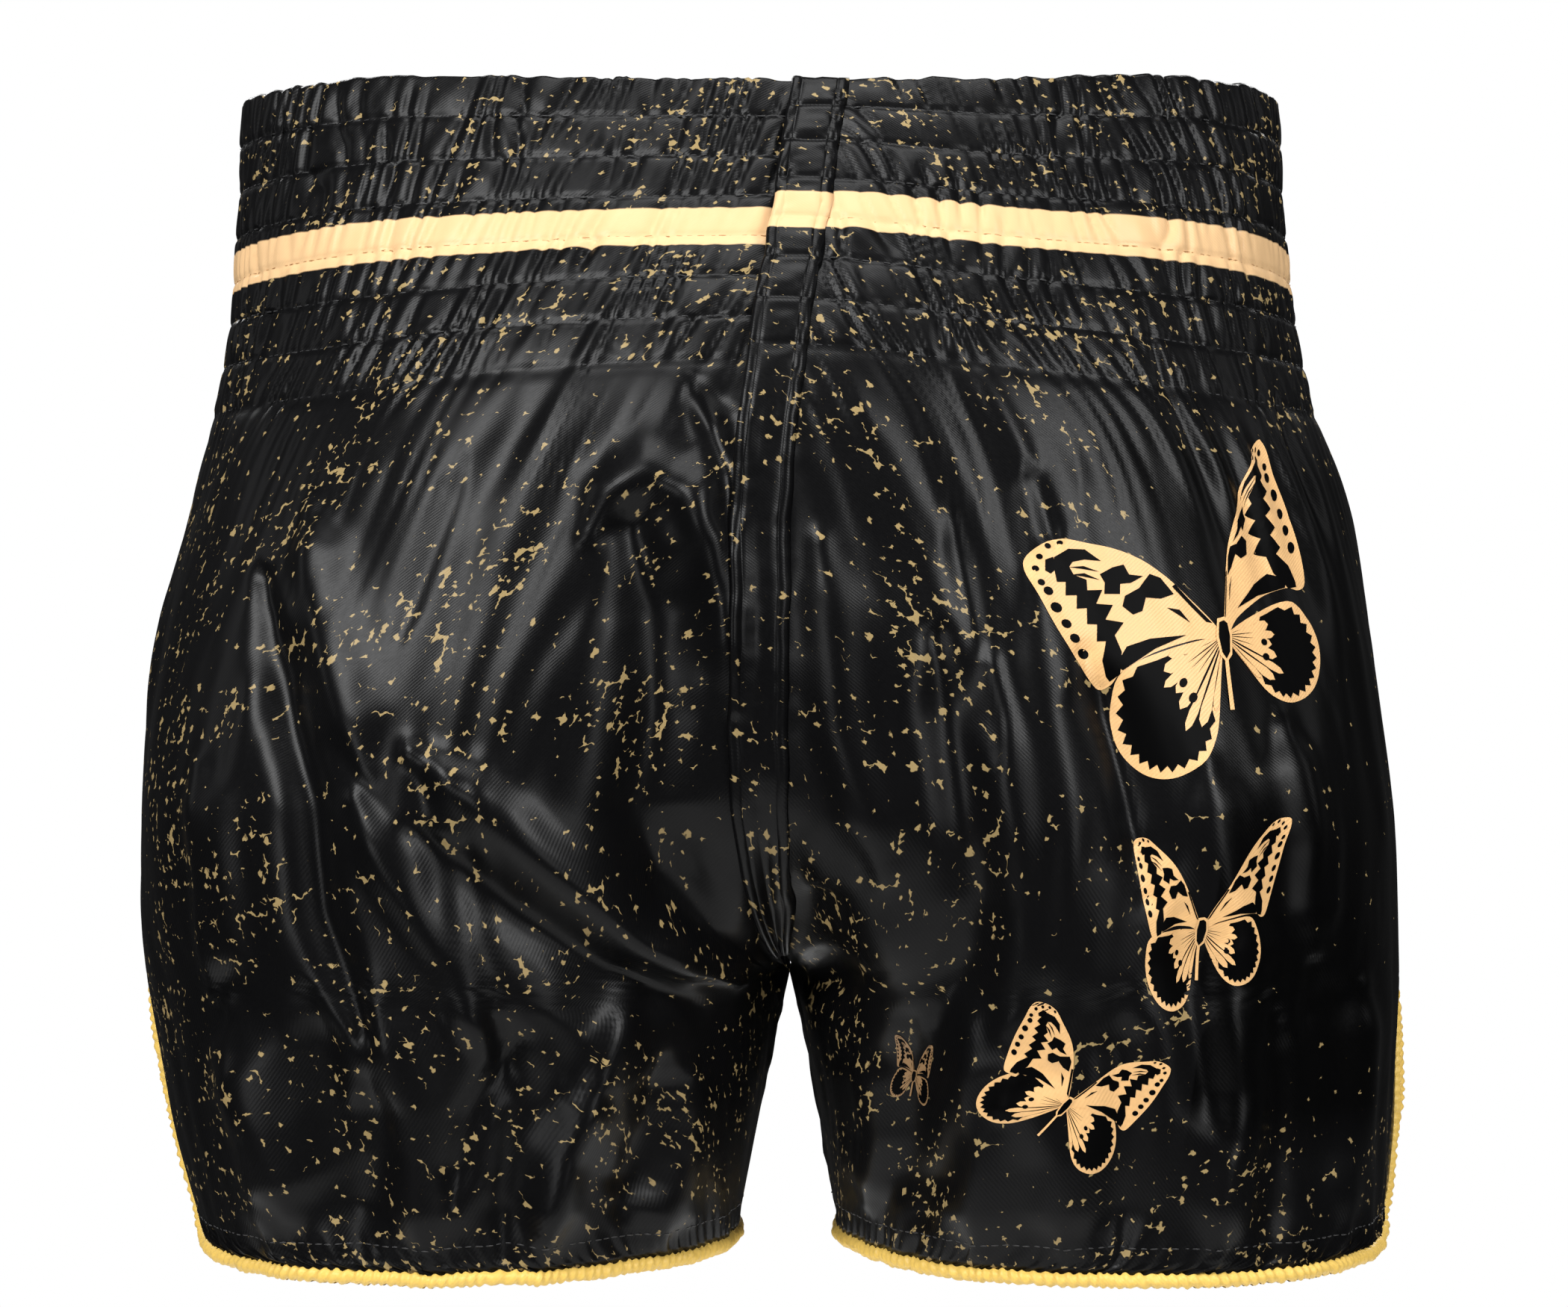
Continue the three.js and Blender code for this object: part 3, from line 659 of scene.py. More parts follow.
def printed_satin(name, plain_side):
    """Black satin printed with chips and the waistband's stripe. The right side's print has a plain black
    ground, where the butterflies are, which runs from the side seam to a straight edge."""
    material, tree, cloth_map, _ = black_satin(name)
    apart = add_node(tree, "SeparateXYZ", {"Vector": cloth_map}).outputs
    grain, depth = apart["X"], apart["Y"]

    def past(value, edge, softness):
        return ranged(tree, value, (edge - softness, edge + softness))

    colour, amount, offset = BLACK_SATIN, 1.0, (0, 0, 0)
    if plain_side:
        down = maths(tree, "SUBTRACT", past(depth, PLAIN_DEPTH[0], 6), past(depth, PLAIN_DEPTH[1], 7))
        plain = maths(tree, "MULTIPLY", down, past(grain, PLAIN_WIDTH, -0.4))
        colour = blend(tree, plain, BLACK_SATIN, DEEP_BLACK)
        amount = ranged(tree, plain, given=(1.0, 0.18))
        offset = PRINT_OFFSET
    cut_from = add_node(tree, "VectorMath", {0: cloth_map, 1: offset}).outputs["Vector"]
    chips = add_node(tree, "Group", {"Map": cut_from, "Amount": amount}, node_tree=chip_group)
    colour = blend(tree, chips.outputs["Mask"], colour, KHAKI)
    stripe = maths(tree, "SUBTRACT", past(depth, STRIPE[0], 0.25), past(depth, STRIPE[1], 0.25))
    shade(tree, {"Base Color": blend(tree, stripe, colour, PEACH_GOLD)})
    return material


black_print = printed_satin("black_satin_printed", False)
black_print_right = printed_satin("black_satin_printed_right", True)
black_plain = black_satin("black_satin_plain")[0]

PANEL_COLUMNS = 198
PANEL_ROWS = 245
BAND_SHARE = 0.46                 # share of the rows that are in the waistband
TOP_ROLL = 1.6                    # depth over which the cloth turns in at the top
TOP_SHARE = 0.024                 # share of the rows that are in that turn
TOP_INWARD = 2.4


def panel_cloth(across, down, side, face):
    depth = np.interp(down, [0, TOP_SHARE, BAND_SHARE, 1], [0, TOP_ROLL, BAND, HEM])
    arc = SEAM_GAP + across * (free_reach(side, face, depth) - SEAM_GAP)
    turned = np.clip(1 - depth / TOP_ROLL, 0, 1)
    inward = -TOP_INWARD * (1 - np.sqrt(1 - turned**2))
    grain = quarter_length(side, face, depth) - arc
    return cloth(side, face, arc, depth, inward), np.column_stack((grain, depth))


for side_name, side in SIDES.items():
    for face_name, face in FACES.items():
        panel = grid_piece(f"{face_name}_{side_name}_satin", PANEL_COLUMNS, PANEL_ROWS,
                           panel_cloth, side, face)
        face_towards(panel, (0, face, 0))
        make_up(panel, black_print_right if side > 0 else black_print, f"{face_name}_panel_{side_name}",
                SATIN)


# ---- centre seams: felled strips, back and front -------------------------------------------------------
# Each centre seam is flat-felled: the right panel's allowance is folded over the left one's and sewn
# down along both edges, so its print runs across the strip and its left edge stands as a small fold.
FELL_BOTTOM = {-1: 258, 1: 250}
FELL_WIDTHS = [-7.2, -7.6, -7.45, -6.9, -6.0, -5.4, -5.0, -4.6, -3.6, -1.5, 0.5, 2.5, 4.2, 4.7, 5.0, 5.3,
               6.2, 8.0]
FELL_LIFTS = [0.0, 0.5, 1.05, 1.35, 1.3, 1.15, 0.95, 1.15, 1.35, 1.4, 1.35, 1.25, 1.05, 0.85, 0.65, 0.8,
              0.6, 0.06]


def over_centre(face, distance, depth, lift):
    """Cloth points at a signed distance from the centre seam, all raised with the right panel."""
    right = cloth(1, face, np.abs(distance), depth, lift)
    left = cloth(-1, face, np.abs(distance), depth, lift)
    left[:, 2] += panel_lift(1, face, 0 * depth, depth)
    return np.where((distance < 0)[:, None], left, right)


def fell_wobble(face, depth):
    return 0.35 * noise(depth / 9, depth * 0, 71 + face)


def felled_cloth(across, down, face):
    index = across * (len(FELL_WIDTHS) - 1)
    distance = np.interp(index, range(len(FELL_WIDTHS)), FELL_WIDTHS)
    lift = np.interp(index, range(len(FELL_LIFTS)), FELL_LIFTS)
    depth = down * FELL_BOTTOM[face]
    bumpy = 0.22 * noise(depth / 3.2, distance / 4, 72 + face) * np.clip(1.2 - np.abs(distance) / 8, 0, 1)
    top = np.clip(1 - depth / TOP_ROLL, 0, 1)
    lift = (lift + bumpy) * (1 - 0.6 * top) - 1.2 * (1 - np.sqrt(1 - top**2))
    points = over_centre(face, distance + fell_wobble(face, depth), depth, lift)
    return points, np.column_stack((quarter_length(1, face, depth) - distance, depth - 1.2))


for face_name, face in FACES.items():
    strip = grid_piece(f"centre_{face_name}_felled_strip", len(FELL_WIDTHS) - 1, 330, felled_cloth, face)
    face_towards(strip, (0, face, 0))
    make_up(strip, black_print_right, f"centre_{face_name}_fell", SATIN)


# ---- elastic: seven rings of knitted braid inside the waistband ------------------------------------------
# Each ring is a flat ribbed elastic braid, stretched as it is sewn in between two stitch rows. It draws
# the satin into gathers and is seen only where the casing is opened.
ELASTIC_WIDTH = 9.5
ELASTIC_THICK = 1.1
WAIST = 620                       # round the braid, for its ribs


def ribbed_cotton(name, ribs_per_mm, dark, light):
    """Matt ribbed yarn: braid, cord or tape, with painted shade in the grooves between its ribs."""
    material, tree = finish(name, {"Roughness": 0.85, "Sheen Weight": 0.2})
    along_it = add_node(tree, "UVMap", {}, uv_map="cloth_mm").outputs["UV"]
    ribs = add_node(tree, "TexWave", {"Scale": ribs_per_mm, "Distortion": 0.4, "Vector": along_it},
                    bands_direction="Y").outputs["Fac"]
    bump = add_node(tree, "Bump", {"Distance": 0.0002, "Height": ribs})
    # the colour follows the ribs' height: the darker colour is painted shade in the grooves
    shade(tree, {"Base Color": blend(tree, ribs, dark, light), "Normal": bump.outputs["Normal"]})
    return material


def waist_ring(across, down, row):
    """A flat ring of braid: across runs round the waist from the centre back, down round its section."""
    turn = 2 * np.pi * down
    high = ELASTIC_WIDTH / 2 * np.sign(np.cos(turn)) * np.abs(np.cos(turn)) ** 0.5
    deep = ELASTIC_THICK / 2 * np.sign(np.sin(turn)) * np.abs(np.sin(turn)) ** 0.5
    depth = (row - 0.5) * ROW_PITCH - high
    quarter = np.minimum((across * 4).astype(int), 3)
    points = np.zeros((len(across), 3))
    for number, (side, face) in enumerate(((1, -1), (1, 1), (-1, 1), (-1, -1))):
        here = quarter == number
        share = across[here] * 4 - number
        share = 1 - share if number % 2 else share
        arc = share * quarter_length(side, face, depth[here])
        points[here] = cloth(side, face, arc, depth[here], -2.5 + deep[here], folded=False)
    return points, np.column_stack((across * WAIST, high))


# The braid's yarn colour on the ribs, and a darker one as painted shade in the grooves.
BRAID_COLOURS = (0.50, 0.48, 0.44, 1), (0.74, 0.72, 0.67, 1)
braid = ribbed_cotton("elastic_braid", 0.32, *BRAID_COLOURS)
for row in range(1, 8):
    ring = grid_piece(f"elastic_braid_{row}", 144, 14, waist_ring, row, closed_round=True)
    make_up(ring, braid, f"elastic_row_{row}")


# ---- facing: the waistband's inner layer ---------------------------------------------------------------
# A second layer of plain black satin lines the waistband in two halves, which meet at the centre seams.
# The stitch rows pull it towards the shell, and it puffs inwards between them.
def lining_cloth(across, down, side):
    depth = 0.7 + down * (BAND + 0.8)
    row = np.clip(depth / ROW_PITCH, 0, 7)
    puff = np.sin(np.pi * (row - np.floor(row))) ** 0.8
    from_row = np.abs(row - np.round(row)) * ROW_PITCH
    points = np.zeros((len(across), 3))
    for face, here in ((-1, across < 0.5), (1, across >= 0.5)):
        share = across[here] * 2 if face < 0 else 2 - across[here] * 2
        length = quarter_length(side, face, depth[here])
        arc = share * length
        turns = arc / HEM_PUCKER + 1.2 * noise(arc / 13, depth[here] / 30, 40 + face)
        crease = np.abs(np.sin(np.pi * turns)) ** 0.7 * np.clip(np.minimum(arc, length - arc) / 4, 0, 1)
        inward = -3.0 - 0.9 * puff[here] - (0.35 + 0.65 * puff[here]) * crease
        inward += 0.4 * hump(from_row[here], 1.4)
        edge = np.clip(1 - (depth[here] - 0.7) / 2.5, 0, 1)
        points[here] = cloth(side, face, arc, depth[here], inward + 0.9 * edge, folded=False)
    return points, np.column_stack((across * WAIST, depth))


for side_name, side in SIDES.items():
    lining = grid_piece(f"waistband_lining_{side_name}", 300, 96, lining_cloth, side)
    face_towards(lining, (-side, 0, 0))
    make_up(lining, black_plain, f"waistband_facing_{side_name}", SATIN)


# ---- seam allowances: inside the side seams and the inseams ---------------------------------------------
# The side seams and inseams are plain seams, pressed flat inside. Their raw edges are neatened together
# with overlocking, so the inside shows a 10 mm strip with thread wrapped over both edges.
ALLOWANCE = 5
OVERLOCKED_THICK = 0.5
OVERLOCK_REACH = (2.6, 2.8)       # the thread starts this far from the seam


def overlocked_satin():
    material, tree, cloth_map, _ = black_satin("black_satin_overlocked")
    from_seam = maths(tree, "ABSOLUTE", add_node(tree, "SeparateXYZ", {"Vector": cloth_map}).outputs["X"])
    loops = add_node(tree, "TexWave", {"Scale": 0.18, "Distortion": 0.6, "Vector": cloth_map},
                     bands_direction="Y")
    thread = maths(tree, "MULTIPLY", ranged(tree, from_seam, OVERLOCK_REACH), loops.outputs["Fac"])
    shade(tree, {"Base Color": blend(tree, thread, BLACK_SATIN, (0.045, 0.045, 0.05, 1))})
    return material


def allowance_cloth(across, down, side, at_centre, high, low):
    """The strip inside a seam, which lies at the panels' centre edges or at their side edges."""
    distance = (across - 0.5) * 2 * ALLOWANCE
    depth = high + down * (low - high)
    curl = 0.5 * noise(depth / 11, distance / 6, 80 + side) - 0.25 * (np.abs(distance) / ALLOWANCE) ** 2
    lift = -1.35 + 0.4 * curl
    points = np.zeros((len(depth), 3))
    for face, here in ((-1, distance < 0), (1, distance >= 0)):
        far = np.abs(distance[here])
        arc = far if at_centre else quarter_length(side, face, depth[here]) - far
        points[here] = cloth(side, face, arc, depth[here], lift[here])
    return points, np.column_stack((distance, depth))


SEAMS = (("side_seam", False, BAND + 2, SLIT_TOP - 5), ("inseam", True, 272, 330))
overlocked = overlocked_satin()
for side_name, side in SIDES.items():
    for seam_name, at_centre, high, low in SEAMS:
        allowance = grid_piece(f"{seam_name}_allowance_{side_name}", 12, int((low - high) / 1.4),
                               allowance_cloth, side, at_centre, high, low)
        face_towards(allowance, (side if at_centre else -side, 0, 0))
        make_up(allowance, overlocked, f"{seam_name}_{side_name}", OVERLOCKED_THICK)


# ---- hem turn-ups: the allowance sewn up inside each panel ----------------------------------------------
# The panel and the piping's own allowance are turned up together inside the hem, and held by the row of
# stitching that shows outside about 7 mm above the piping.
TURN_UP = 7.0
TURN_UP_TOP = 7.6                 # above the hem
TURN_UP_CLEAR = 0.4               # inside the panel's edges


def turned_up_cloth(across, down, side, face):
    depth = HEM - TURN_UP_TOP + down * TURN_UP
    reach = free_reach(side, face, depth) - TURN_UP_CLEAR
    arc = TURN_UP_CLEAR + across * (reach - TURN_UP_CLEAR)
    lift = -0.95 - 0.3 * (1 - down) + 0.18 * noise(arc / 3.5, depth / 5, 90 + side + face)
    return cloth(side, face, arc, depth, lift), np.column_stack((arc, depth))


for side_name, side in SIDES.items():
    for face_name, face in FACES.items():
        turn_up = grid_piece(f"{face_name}_{side_name}_turn_up", 160, 9, turned_up_cloth, side, face)
        face_towards(turn_up, (0, face, 0))
        make_up(turn_up, black_plain, f"hem_turn_up_{face_name}_{side_name}", SATIN)


# ---- piping: the gold edge of each leg opening ----------------------------------------------------------
# A bias strip of gold satin is wrapped round a thin cotton cord and sewn into the hem, round each lower
# corner and up both edges of the slit, in one run. The satin puckers round the cord at every stitch.
PIPING_RADIUS = 1.95
CORD_RADIUS = 0.7
PIPING_OUT = PIPING_RADIUS * 0.86  # from the cloth's edge to the middle of the piping
PIPING_STEP = 0.55
PIPING_SIDES = 18
CORD_SIDES = 10
HEM_POINTS = 260                  # along half a leg opening, before they are evened out
CORNER_POINTS = 40
SLIT_POINTS = 70
PIPING_GOLD = (0.90, 0.60, 0.13, 1)


def opening_run(side):
    """The free edge round a leg opening: points, ways out of the edge, ways out of the cloth, and length."""
    points, faces_out = [], []
    for face in FACES.values():
        hem_reach = float(free_reach(side, face, np.array([HEM]))[0])
        turn = np.linspace(0, np.pi / 2, CORNER_POINTS)[1:]
        straight = np.linspace(CORNER, HEM - SLIT_TOP - 0.1, SLIT_POINTS)[1:]
        rise = np.concatenate([CORNER * (1 - np.cos(turn)), straight])
        depth = np.concatenate([np.full(HEM_POINTS, HEM), HEM - rise])
        arc = np.concatenate([np.linspace(0, hem_reach, HEM_POINTS), free_reach(side, face, HEM - rise)])
        here = cloth(side, face, arc, depth)
        out = cloth(side, face, arc, depth, 1.0) - here
        points.append(here if face < 0 else here[::-1])
        faces_out.append(out if face < 0 else out[::-1])
    points, faces_out = np.concatenate(points), np.concatenate(faces_out)
    gaps = np.linalg.norm(np.roll(points, -1, axis=0) - points, axis=1)
    at = np.concatenate([[0], np.cumsum(gaps)])
    count = int(at[-1] / PIPING_STEP)
    wanted = np.arange(count) / count * at[-1]
    soften = hump(np.arange(-6, 7), 2.4)
    soften /= soften.sum()

    def evened(values):
        """Values at even steps round the run, smoothed over a few of them."""
        values = np.vstack([values, values[:1]])
        values = np.stack([np.interp(wanted, at, values[:, k]) for k in range(3)], axis=-1)
        padded = np.concatenate([values[-6:], values, values[:6]])
        return np.stack([np.convolve(padded[:, k], soften, mode="valid") for k in range(3)], axis=-1)

    points, faces_out = evened(points), unit(evened(faces_out))
    away = unit(np.cross(unit(np.roll(points, -1, axis=0) - np.roll(points, 1, axis=0)), faces_out))
    if away[count // 8, 2] > 0:
        away = -away
    return points, away, faces_out, at[-1]


def tube_cloth(across, down, run, side, radius_at):
    """A tube round a leg opening's run; radius_at(side, length, angle) gives its radius."""
    points, away, faces_out, length = run
    index = np.round(down * len(points)).astype(int) % len(points)
    angle = 2 * np.pi * across
    middle = points[index] + away[index] * PIPING_OUT - faces_out[index] * SATIN / 2
    ring = away[index] * np.cos(angle)[:, None] + faces_out[index] * np.sin(angle)[:, None]
    radius = radius_at(side, down * length, angle)[:, None]
    return middle + radius * ring, np.column_stack((down * length, across * 12))


def puckered(side, length, angle):
    """The satin drawn in at every stitch, and a little uneven all over."""
    pull = np.sin(2 * np.pi * (length / 3.0 + 0.7 * noise(length / 9, 0 * length, 33 + side)) + 1.2 * angle)
    over, under = 2.6 * np.cos(angle), 2.6 * np.sin(angle)
    small = noise(length / 1.5, over, 34 + side) + noise(length / 1.2, under, 36 + side)
    return PIPING_RADIUS + 0.30 * pull + 0.20 * small


def twisted(side, length, angle):
    """Three twisted plies."""
    return CORD_RADIUS + 0.06 * np.cos(3 * angle - length * 2)


def darker(colour, share):
    return tuple(part * share for part in colour[:3]) + (1,)


def gold_satin(name, colour):
    material, tree, _, slub = satin_finish(name, {"Specular IOR Level": 0.4, "Sheen Weight": 0.1},
                                           (0.34, 0.52), 0.4, 0.00008)
    shade(tree, {"Base Color": blend(tree, slub, darker(colour, 0.82), colour)})
    return material


piping_gold = gold_satin("piping_gold_satin", PIPING_GOLD)
cord_cotton = ribbed_cotton("cotton_filler_cord", 0.32, *BRAID_COLOURS)
for side_name, side in SIDES.items():
    run = opening_run(side)
    steps = len(run[0])
    cover = grid_piece(f"piping_{side_name}", PIPING_SIDES, steps, tube_cloth, run, side, puckered,
                       closed_round=True)
    make_up(cover, piping_gold, f"piping_cover_{side_name}")
    filler = grid_piece(f"filler_cord_{side_name}", CORD_SIDES, steps, tube_cloth, run, side, twisted,
                        closed_round=True)
    make_up(filler, cord_cotton, f"piping_cord_{side_name}")


# ---- stitching: every seam's own thread ------------------------------------------------------------------
# Lockstitch in polyester thread, sunk a little into the satin: black on the rows, seams, slits and hems,
# and gold where the fourth row crosses the printed stripe. The centre seams show their needle holes.
STITCH_PITCH = 2.9
SEAM_STITCH_PITCH = 3.2
STITCH_AHEAD = 0.8                # step that finds which way a stitch points
HEM_STITCHING = 7.0               # above the hem
SLIT_STITCHING = 4.6              # in from the slit's edge
FELL_STITCHING = 5.0              # to each side of a centre seam
NEEDLE_HOLES = (1.35, 1.95)       # after each stitch of a centre seam
STITCH_LIFT = 0.02                # of a stitch's middle off the cloth, so half of it is sunk in
STITCH_FLATNESS = 0.62


def thread_finish(name, colour):
    material, tree = finish(name, {"Roughness": 0.5, "Sheen Weight": 0.15})
    spot = add_node(tree, "TexCoord", {}).outputs["Object"]
    fibres = add_node(tree, "TexNoise", {"Scale": 4200, "Vector": spot}).outputs["Fac"]
    shade(tree, {"Base Color": blend(tree, fibres, darker(colour, 0.6), colour)})
    return material


black_thread = thread_finish("black_thread", (0.009, 0.009, 0.010, 1))
gold_thread = thread_finish("gold_thread", (0.50, 0.25, 0.08, 1))
pale_hole = thread_finish("needle_hole", (0.62, 0.56, 0.42, 1))


def stitches(surface, arcs, depths, ahead):
    """Stitches on a surface(arcs, depths, lift): places, directions, and ways out of the cloth. ahead is a
    step in arc and depth along the stitching."""
    here = surface(arcs, depths, 0.0)
    forward = unit(surface(arcs + ahead[0], depths + ahead[1], 0.0) - here)
    aside = surface(arcs - ahead[1], depths + ahead[0], 0.0) - here
    out = unit(np.cross(forward, aside))
    outside = surface(arcs, depths, 1.0) - here
    return here, forward, out * np.sign((out * outside).sum(axis=1))[:, None]


def sew(name, runs, material, length, width):
    """One piece of many stitches; each run is (places, directions, ways out of the cloth)."""
    seed = bmesh.new()
    bmesh.ops.create_uvsphere(seed, u_segments=6, v_segments=4, radius=0.5)
    bmesh.ops.scale(seed, vec=(width * MM, width * STITCH_FLATNESS * MM, length * MM), verts=seed.verts)
    one_stitch = bpy.data.meshes.new("one_stitch")
    seed.to_mesh(one_stitch)
    seed.free()
    sewn = bmesh.new()
    for run in runs:
        for spot, forward, out in zip(*run):
            forward, out = Vector(forward), Vector(out)
            pose = Matrix((out.cross(forward).normalized(), out, forward)).transposed().to_4x4()
            pose.translation = Vector(spot) * MM + out * STITCH_LIFT * MM
            one_stitch.transform(pose)
            sewn.from_mesh(one_stitch)
            one_stitch.transform(pose.inverted())
    mesh = bpy.data.meshes.new(name)
    sewn.to_mesh(mesh)
    sewn.free()
    bpy.data.meshes.remove(one_stitch)
    mesh.materials.append(material)
    piece = new_piece(name, mesh)
    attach(piece, "root")
    return piece


row_runs, gold_runs, hem_runs, fell_runs, hole_runs = [], [], [], [], []
for side in SIDES.values():
    for face in FACES.values():
        def panel_face(arcs, depths, lift):
            return cloth(side, face, arcs, depths, lift)

        for row in range(1, 8):
            depth = row * ROW_PITCH
            reach = float(quarter_length(side, face, np.array([depth]))[0])
            clear = 8.5 if (side, face) == (1, -1) else 9.5         # of the felled strip
            arcs = np.arange(clear, reach - 1, STITCH_PITCH)
            run = stitches(panel_face, arcs, np.full(len(arcs), depth), (STITCH_AHEAD, 0))
            (gold_runs if row == 4 else row_runs).append(run)
        depth = HEM - HEM_STITCHING
        reach = float(quarter_length(side, face, np.array([depth]))[0] - 4)
        arcs = np.arange(2, reach - 3, STITCH_PITCH)
        hem_runs.append(stitches(panel_face, arcs, np.full(len(arcs), depth), (STITCH_AHEAD, 0)))
        depths = np.arange(SLIT_TOP + 2, HEM - 9, STITCH_PITCH)
        arcs = free_reach(side, face, depths) - SLIT_STITCHING
        hem_runs.append(stitches(panel_face, arcs, depths, (0, STITCH_AHEAD)))
for face in FACES.values():
    for distance in (-FELL_STITCHING, FELL_STITCHING):
        strip_lift = np.interp(distance, FELL_WIDTHS[1:], FELL_LIFTS[1:])

        def strip_face(arcs, depths, lift):
            return over_centre(face, arcs + fell_wobble(face, depths), depths, strip_lift + lift)

        depths = np.arange(3, FELL_BOTTOM[face] - 6, SEAM_STITCH_PITCH)
        distances = np.full(len(depths), distance)
        fell_runs.append(stitches(strip_face, distances, depths, (0, STITCH_AHEAD)))
        for gap in NEEDLE_HOLES:
            hole_runs.append(stitches(strip_face, distances, depths + gap, (0, STITCH_AHEAD)))
sew("row_stitching_black", row_runs, black_thread, length=2.3, width=0.5)
sew("row_stitching_gold", gold_runs, gold_thread, length=2.3, width=0.42)
sew("hem_stitching", hem_runs, black_thread, length=2.3, width=0.46)
sew("centre_seam_stitching", fell_runs, black_thread, length=2.1, width=0.5)
sew("centre_seam_needle_holes", hole_runs, pale_hole, length=0.45, width=0.45)


# ---- bar tacks: the top of each side slit ----------------------------------------------------------------
# A dense little bar of black zigzag across the seam stops the slit from tearing upwards. It is stitched
# over a few straight threads.
for side_name, side in SIDES.items():
    low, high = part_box(f"slit_bar_tack_{side_name}")
    centre = (np.array(low) + np.array(high)) / 2 / MM
    zigzag = [((-side * 0.1, step * 0.7, 0), (0, 0.35 if step % 2 else -0.35, 1)) for step in range(-6, 7)]
    straight = [((side * 0.15, y, z), (0, 1, 0)) for z in (-0.6, 0.6) for y in (-2.6, 0, 2.6)]
    offsets, ways = (np.array(part, float) for part in zip(*zigzag, *straight))
    inwards = np.tile((-side, 0.0, 0.0), (len(ways), 1))
    bars = [(centre + offsets, unit(ways), inwards)]
    tack = sew(f"bar_tack_{side_name}", bars, black_thread, length=2.6, width=0.62)
    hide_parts(f"slit_bar_tack_{side_name}")


# ---- label: a blank tab inside the centre back ----------------------------------------------------------
# A folded woven cotton tab is caught in the waistband's top stitching, beside the seam. It is left blank.
LABEL_WIDTH = 28
LABEL_HEIGHT = 33
LABEL_THICK = 0.4


def label_cloth(across, down):
    depth = BAND - 1 - LABEL_HEIGHT + down * LABEL_HEIGHT
    arc = 12 + across * LABEL_WIDTH
    lift = -5.9 - 0.5 * np.sin(np.pi * down) + 0.25 * noise(arc / 9, depth / 9, 51)
    return cloth(1, -1, arc, depth, lift, folded=False), np.column_stack((arc, depth))


label = grid_piece("blank_label", LABEL_WIDTH, LABEL_HEIGHT, label_cloth)
face_towards(label, (0, -1, 0))
# The label's lighter colour is its own on the ribs; the darker one is painted shade in the grooves.
label_tape = ribbed_cotton("woven_cotton_label", 1.1, (0.62, 0.60, 0.55, 1), (0.80, 0.78, 0.73, 1))
make_up(label, label_tape, "size_label", LABEL_THICK)


# ---- butterflies: the large print trailing down the right leg --------------------------------------------
# Four butterflies are printed in peach gold and black, each smaller than the one above. The ink lies on
# the satin and follows its folds. Each wing is drawn in its own units: along its length, then towards its
# trailing edge for a forewing, or towards the forewing for a hindwing.
FOREWING = [(0, 0), (.30, -.15), (.54, -.21), (.77, -.19), (.91, -.153), (1.0, -.045), (.99, .03),
            (.89, .123), (.76, .24), (.61, .35), (.48, .42), (.426, .39), (.40, .315), (.29, .185),
            (.12, .06)]
HINDWING = [(0, 0), (.22, .27), (.495, .50), (.72, .46), (.91, .33), (1.01, .17), (1.03, .01), (.96, -.13),
            (.80, -.23), (.60, -.23), (.30, -.116), (.05, -.02)]
FOREWING_MARKS = [
    # the zigzag band inside the margin
    [(.86, -.02), (.83, .03), (.79, .015), (.77, .075), (.72, .055), (.70, .115), (.655, .095), (.63, .165),
     (.585, .15), (.56, .225), (.52, .21), (.505, .30), (.46, .36), (.435, .375), (.405, .33), (.435, .23),
     (.49, .17), (.47, .10), (.555, .115), (.545, .04), (.62, .06), (.615, -.01), (.68, .015), (.70, -.03),
     (.765, -.03), (.80, -.06)],
    # the hook at the tip and the fingers under it
    [(.865, -.02), (.88, -.075), (.83, -.135), (.755, -.16), (.665, -.135), (.74, -.115), (.79, -.085),
     (.80, -.05)],
    [(.80, -.055), (.735, -.085), (.655, -.085), (.735, -.07)],
    [(.78, -.025), (.72, -.055), (.64, -.05), (.72, -.038)],
    [(.915, -.05), (.90, .0), (.87, .005), (.85, -.03), (.885, -.075)],
    # two dark patches across the middle, and the streaks between the veins
    [(.605, -.125), (.56, -.155), (.52, -.12), (.455, -.135), (.50, -.085), (.545, -.065), (.53, -.02),
     (.60, .005), (.615, -.045), (.65, -.075)],
    [(.43, -.155), (.375, -.155), (.29, -.105), (.34, -.065), (.41, -.045), (.405, .02), (.44, .05),
     (.50, .03), (.505, -.02), (.455, -.075)],
    [(.31, -.135), (.10, -.035), (.07, -.04), (.30, -.15)],
    [(.30, -.035), (.24, -.045), (.17, -.005), (.235, -.02)],
    [(.44, .30), (.42, .20), (.33, .13), (.17, .055), (.29, .165), (.40, .31)],
]
MARGIN_DOTS = [(.875, -.15, .011), (.925, -.115, .013), (.945, -.055, .013), (.945, .005, .014),
               (.90, .06, .015), (.855, .085, .020), (.795, .145, .024), (.725, .20, .021),
               (.665, .25, .021), (.60, .30, .023)]
PETALS = [(44, .40, .040), (34, .47, .045), (24, .53, .034), (15, .50, .040), (6, .57, .040), (-3, .68, .030),
          (-11, .62, .036), (-18, .50, .022)]
PETAL_SPOTS = [(.40, .115, .026), (.46, .015, .028)]
# The body, its dark middle and the thin tail, in units along the tail.
BODY = [(-.26, -.03), (-.24, .07), (.0, .11), (.26, .08), (.36, .0), (.26, -.09), (.0, -.12), (-.22, -.09)]
BODY_DARK = [(-.21, -.02), (-.19, .05), (.0, .075), (.22, .05), (.31, .0), (.22, -.06), (.0, -.085),
             (-.17, -.065)]
TAIL = [(.33, -.025), (1.0, -.03), (1.0, .03), (.33, .025)]
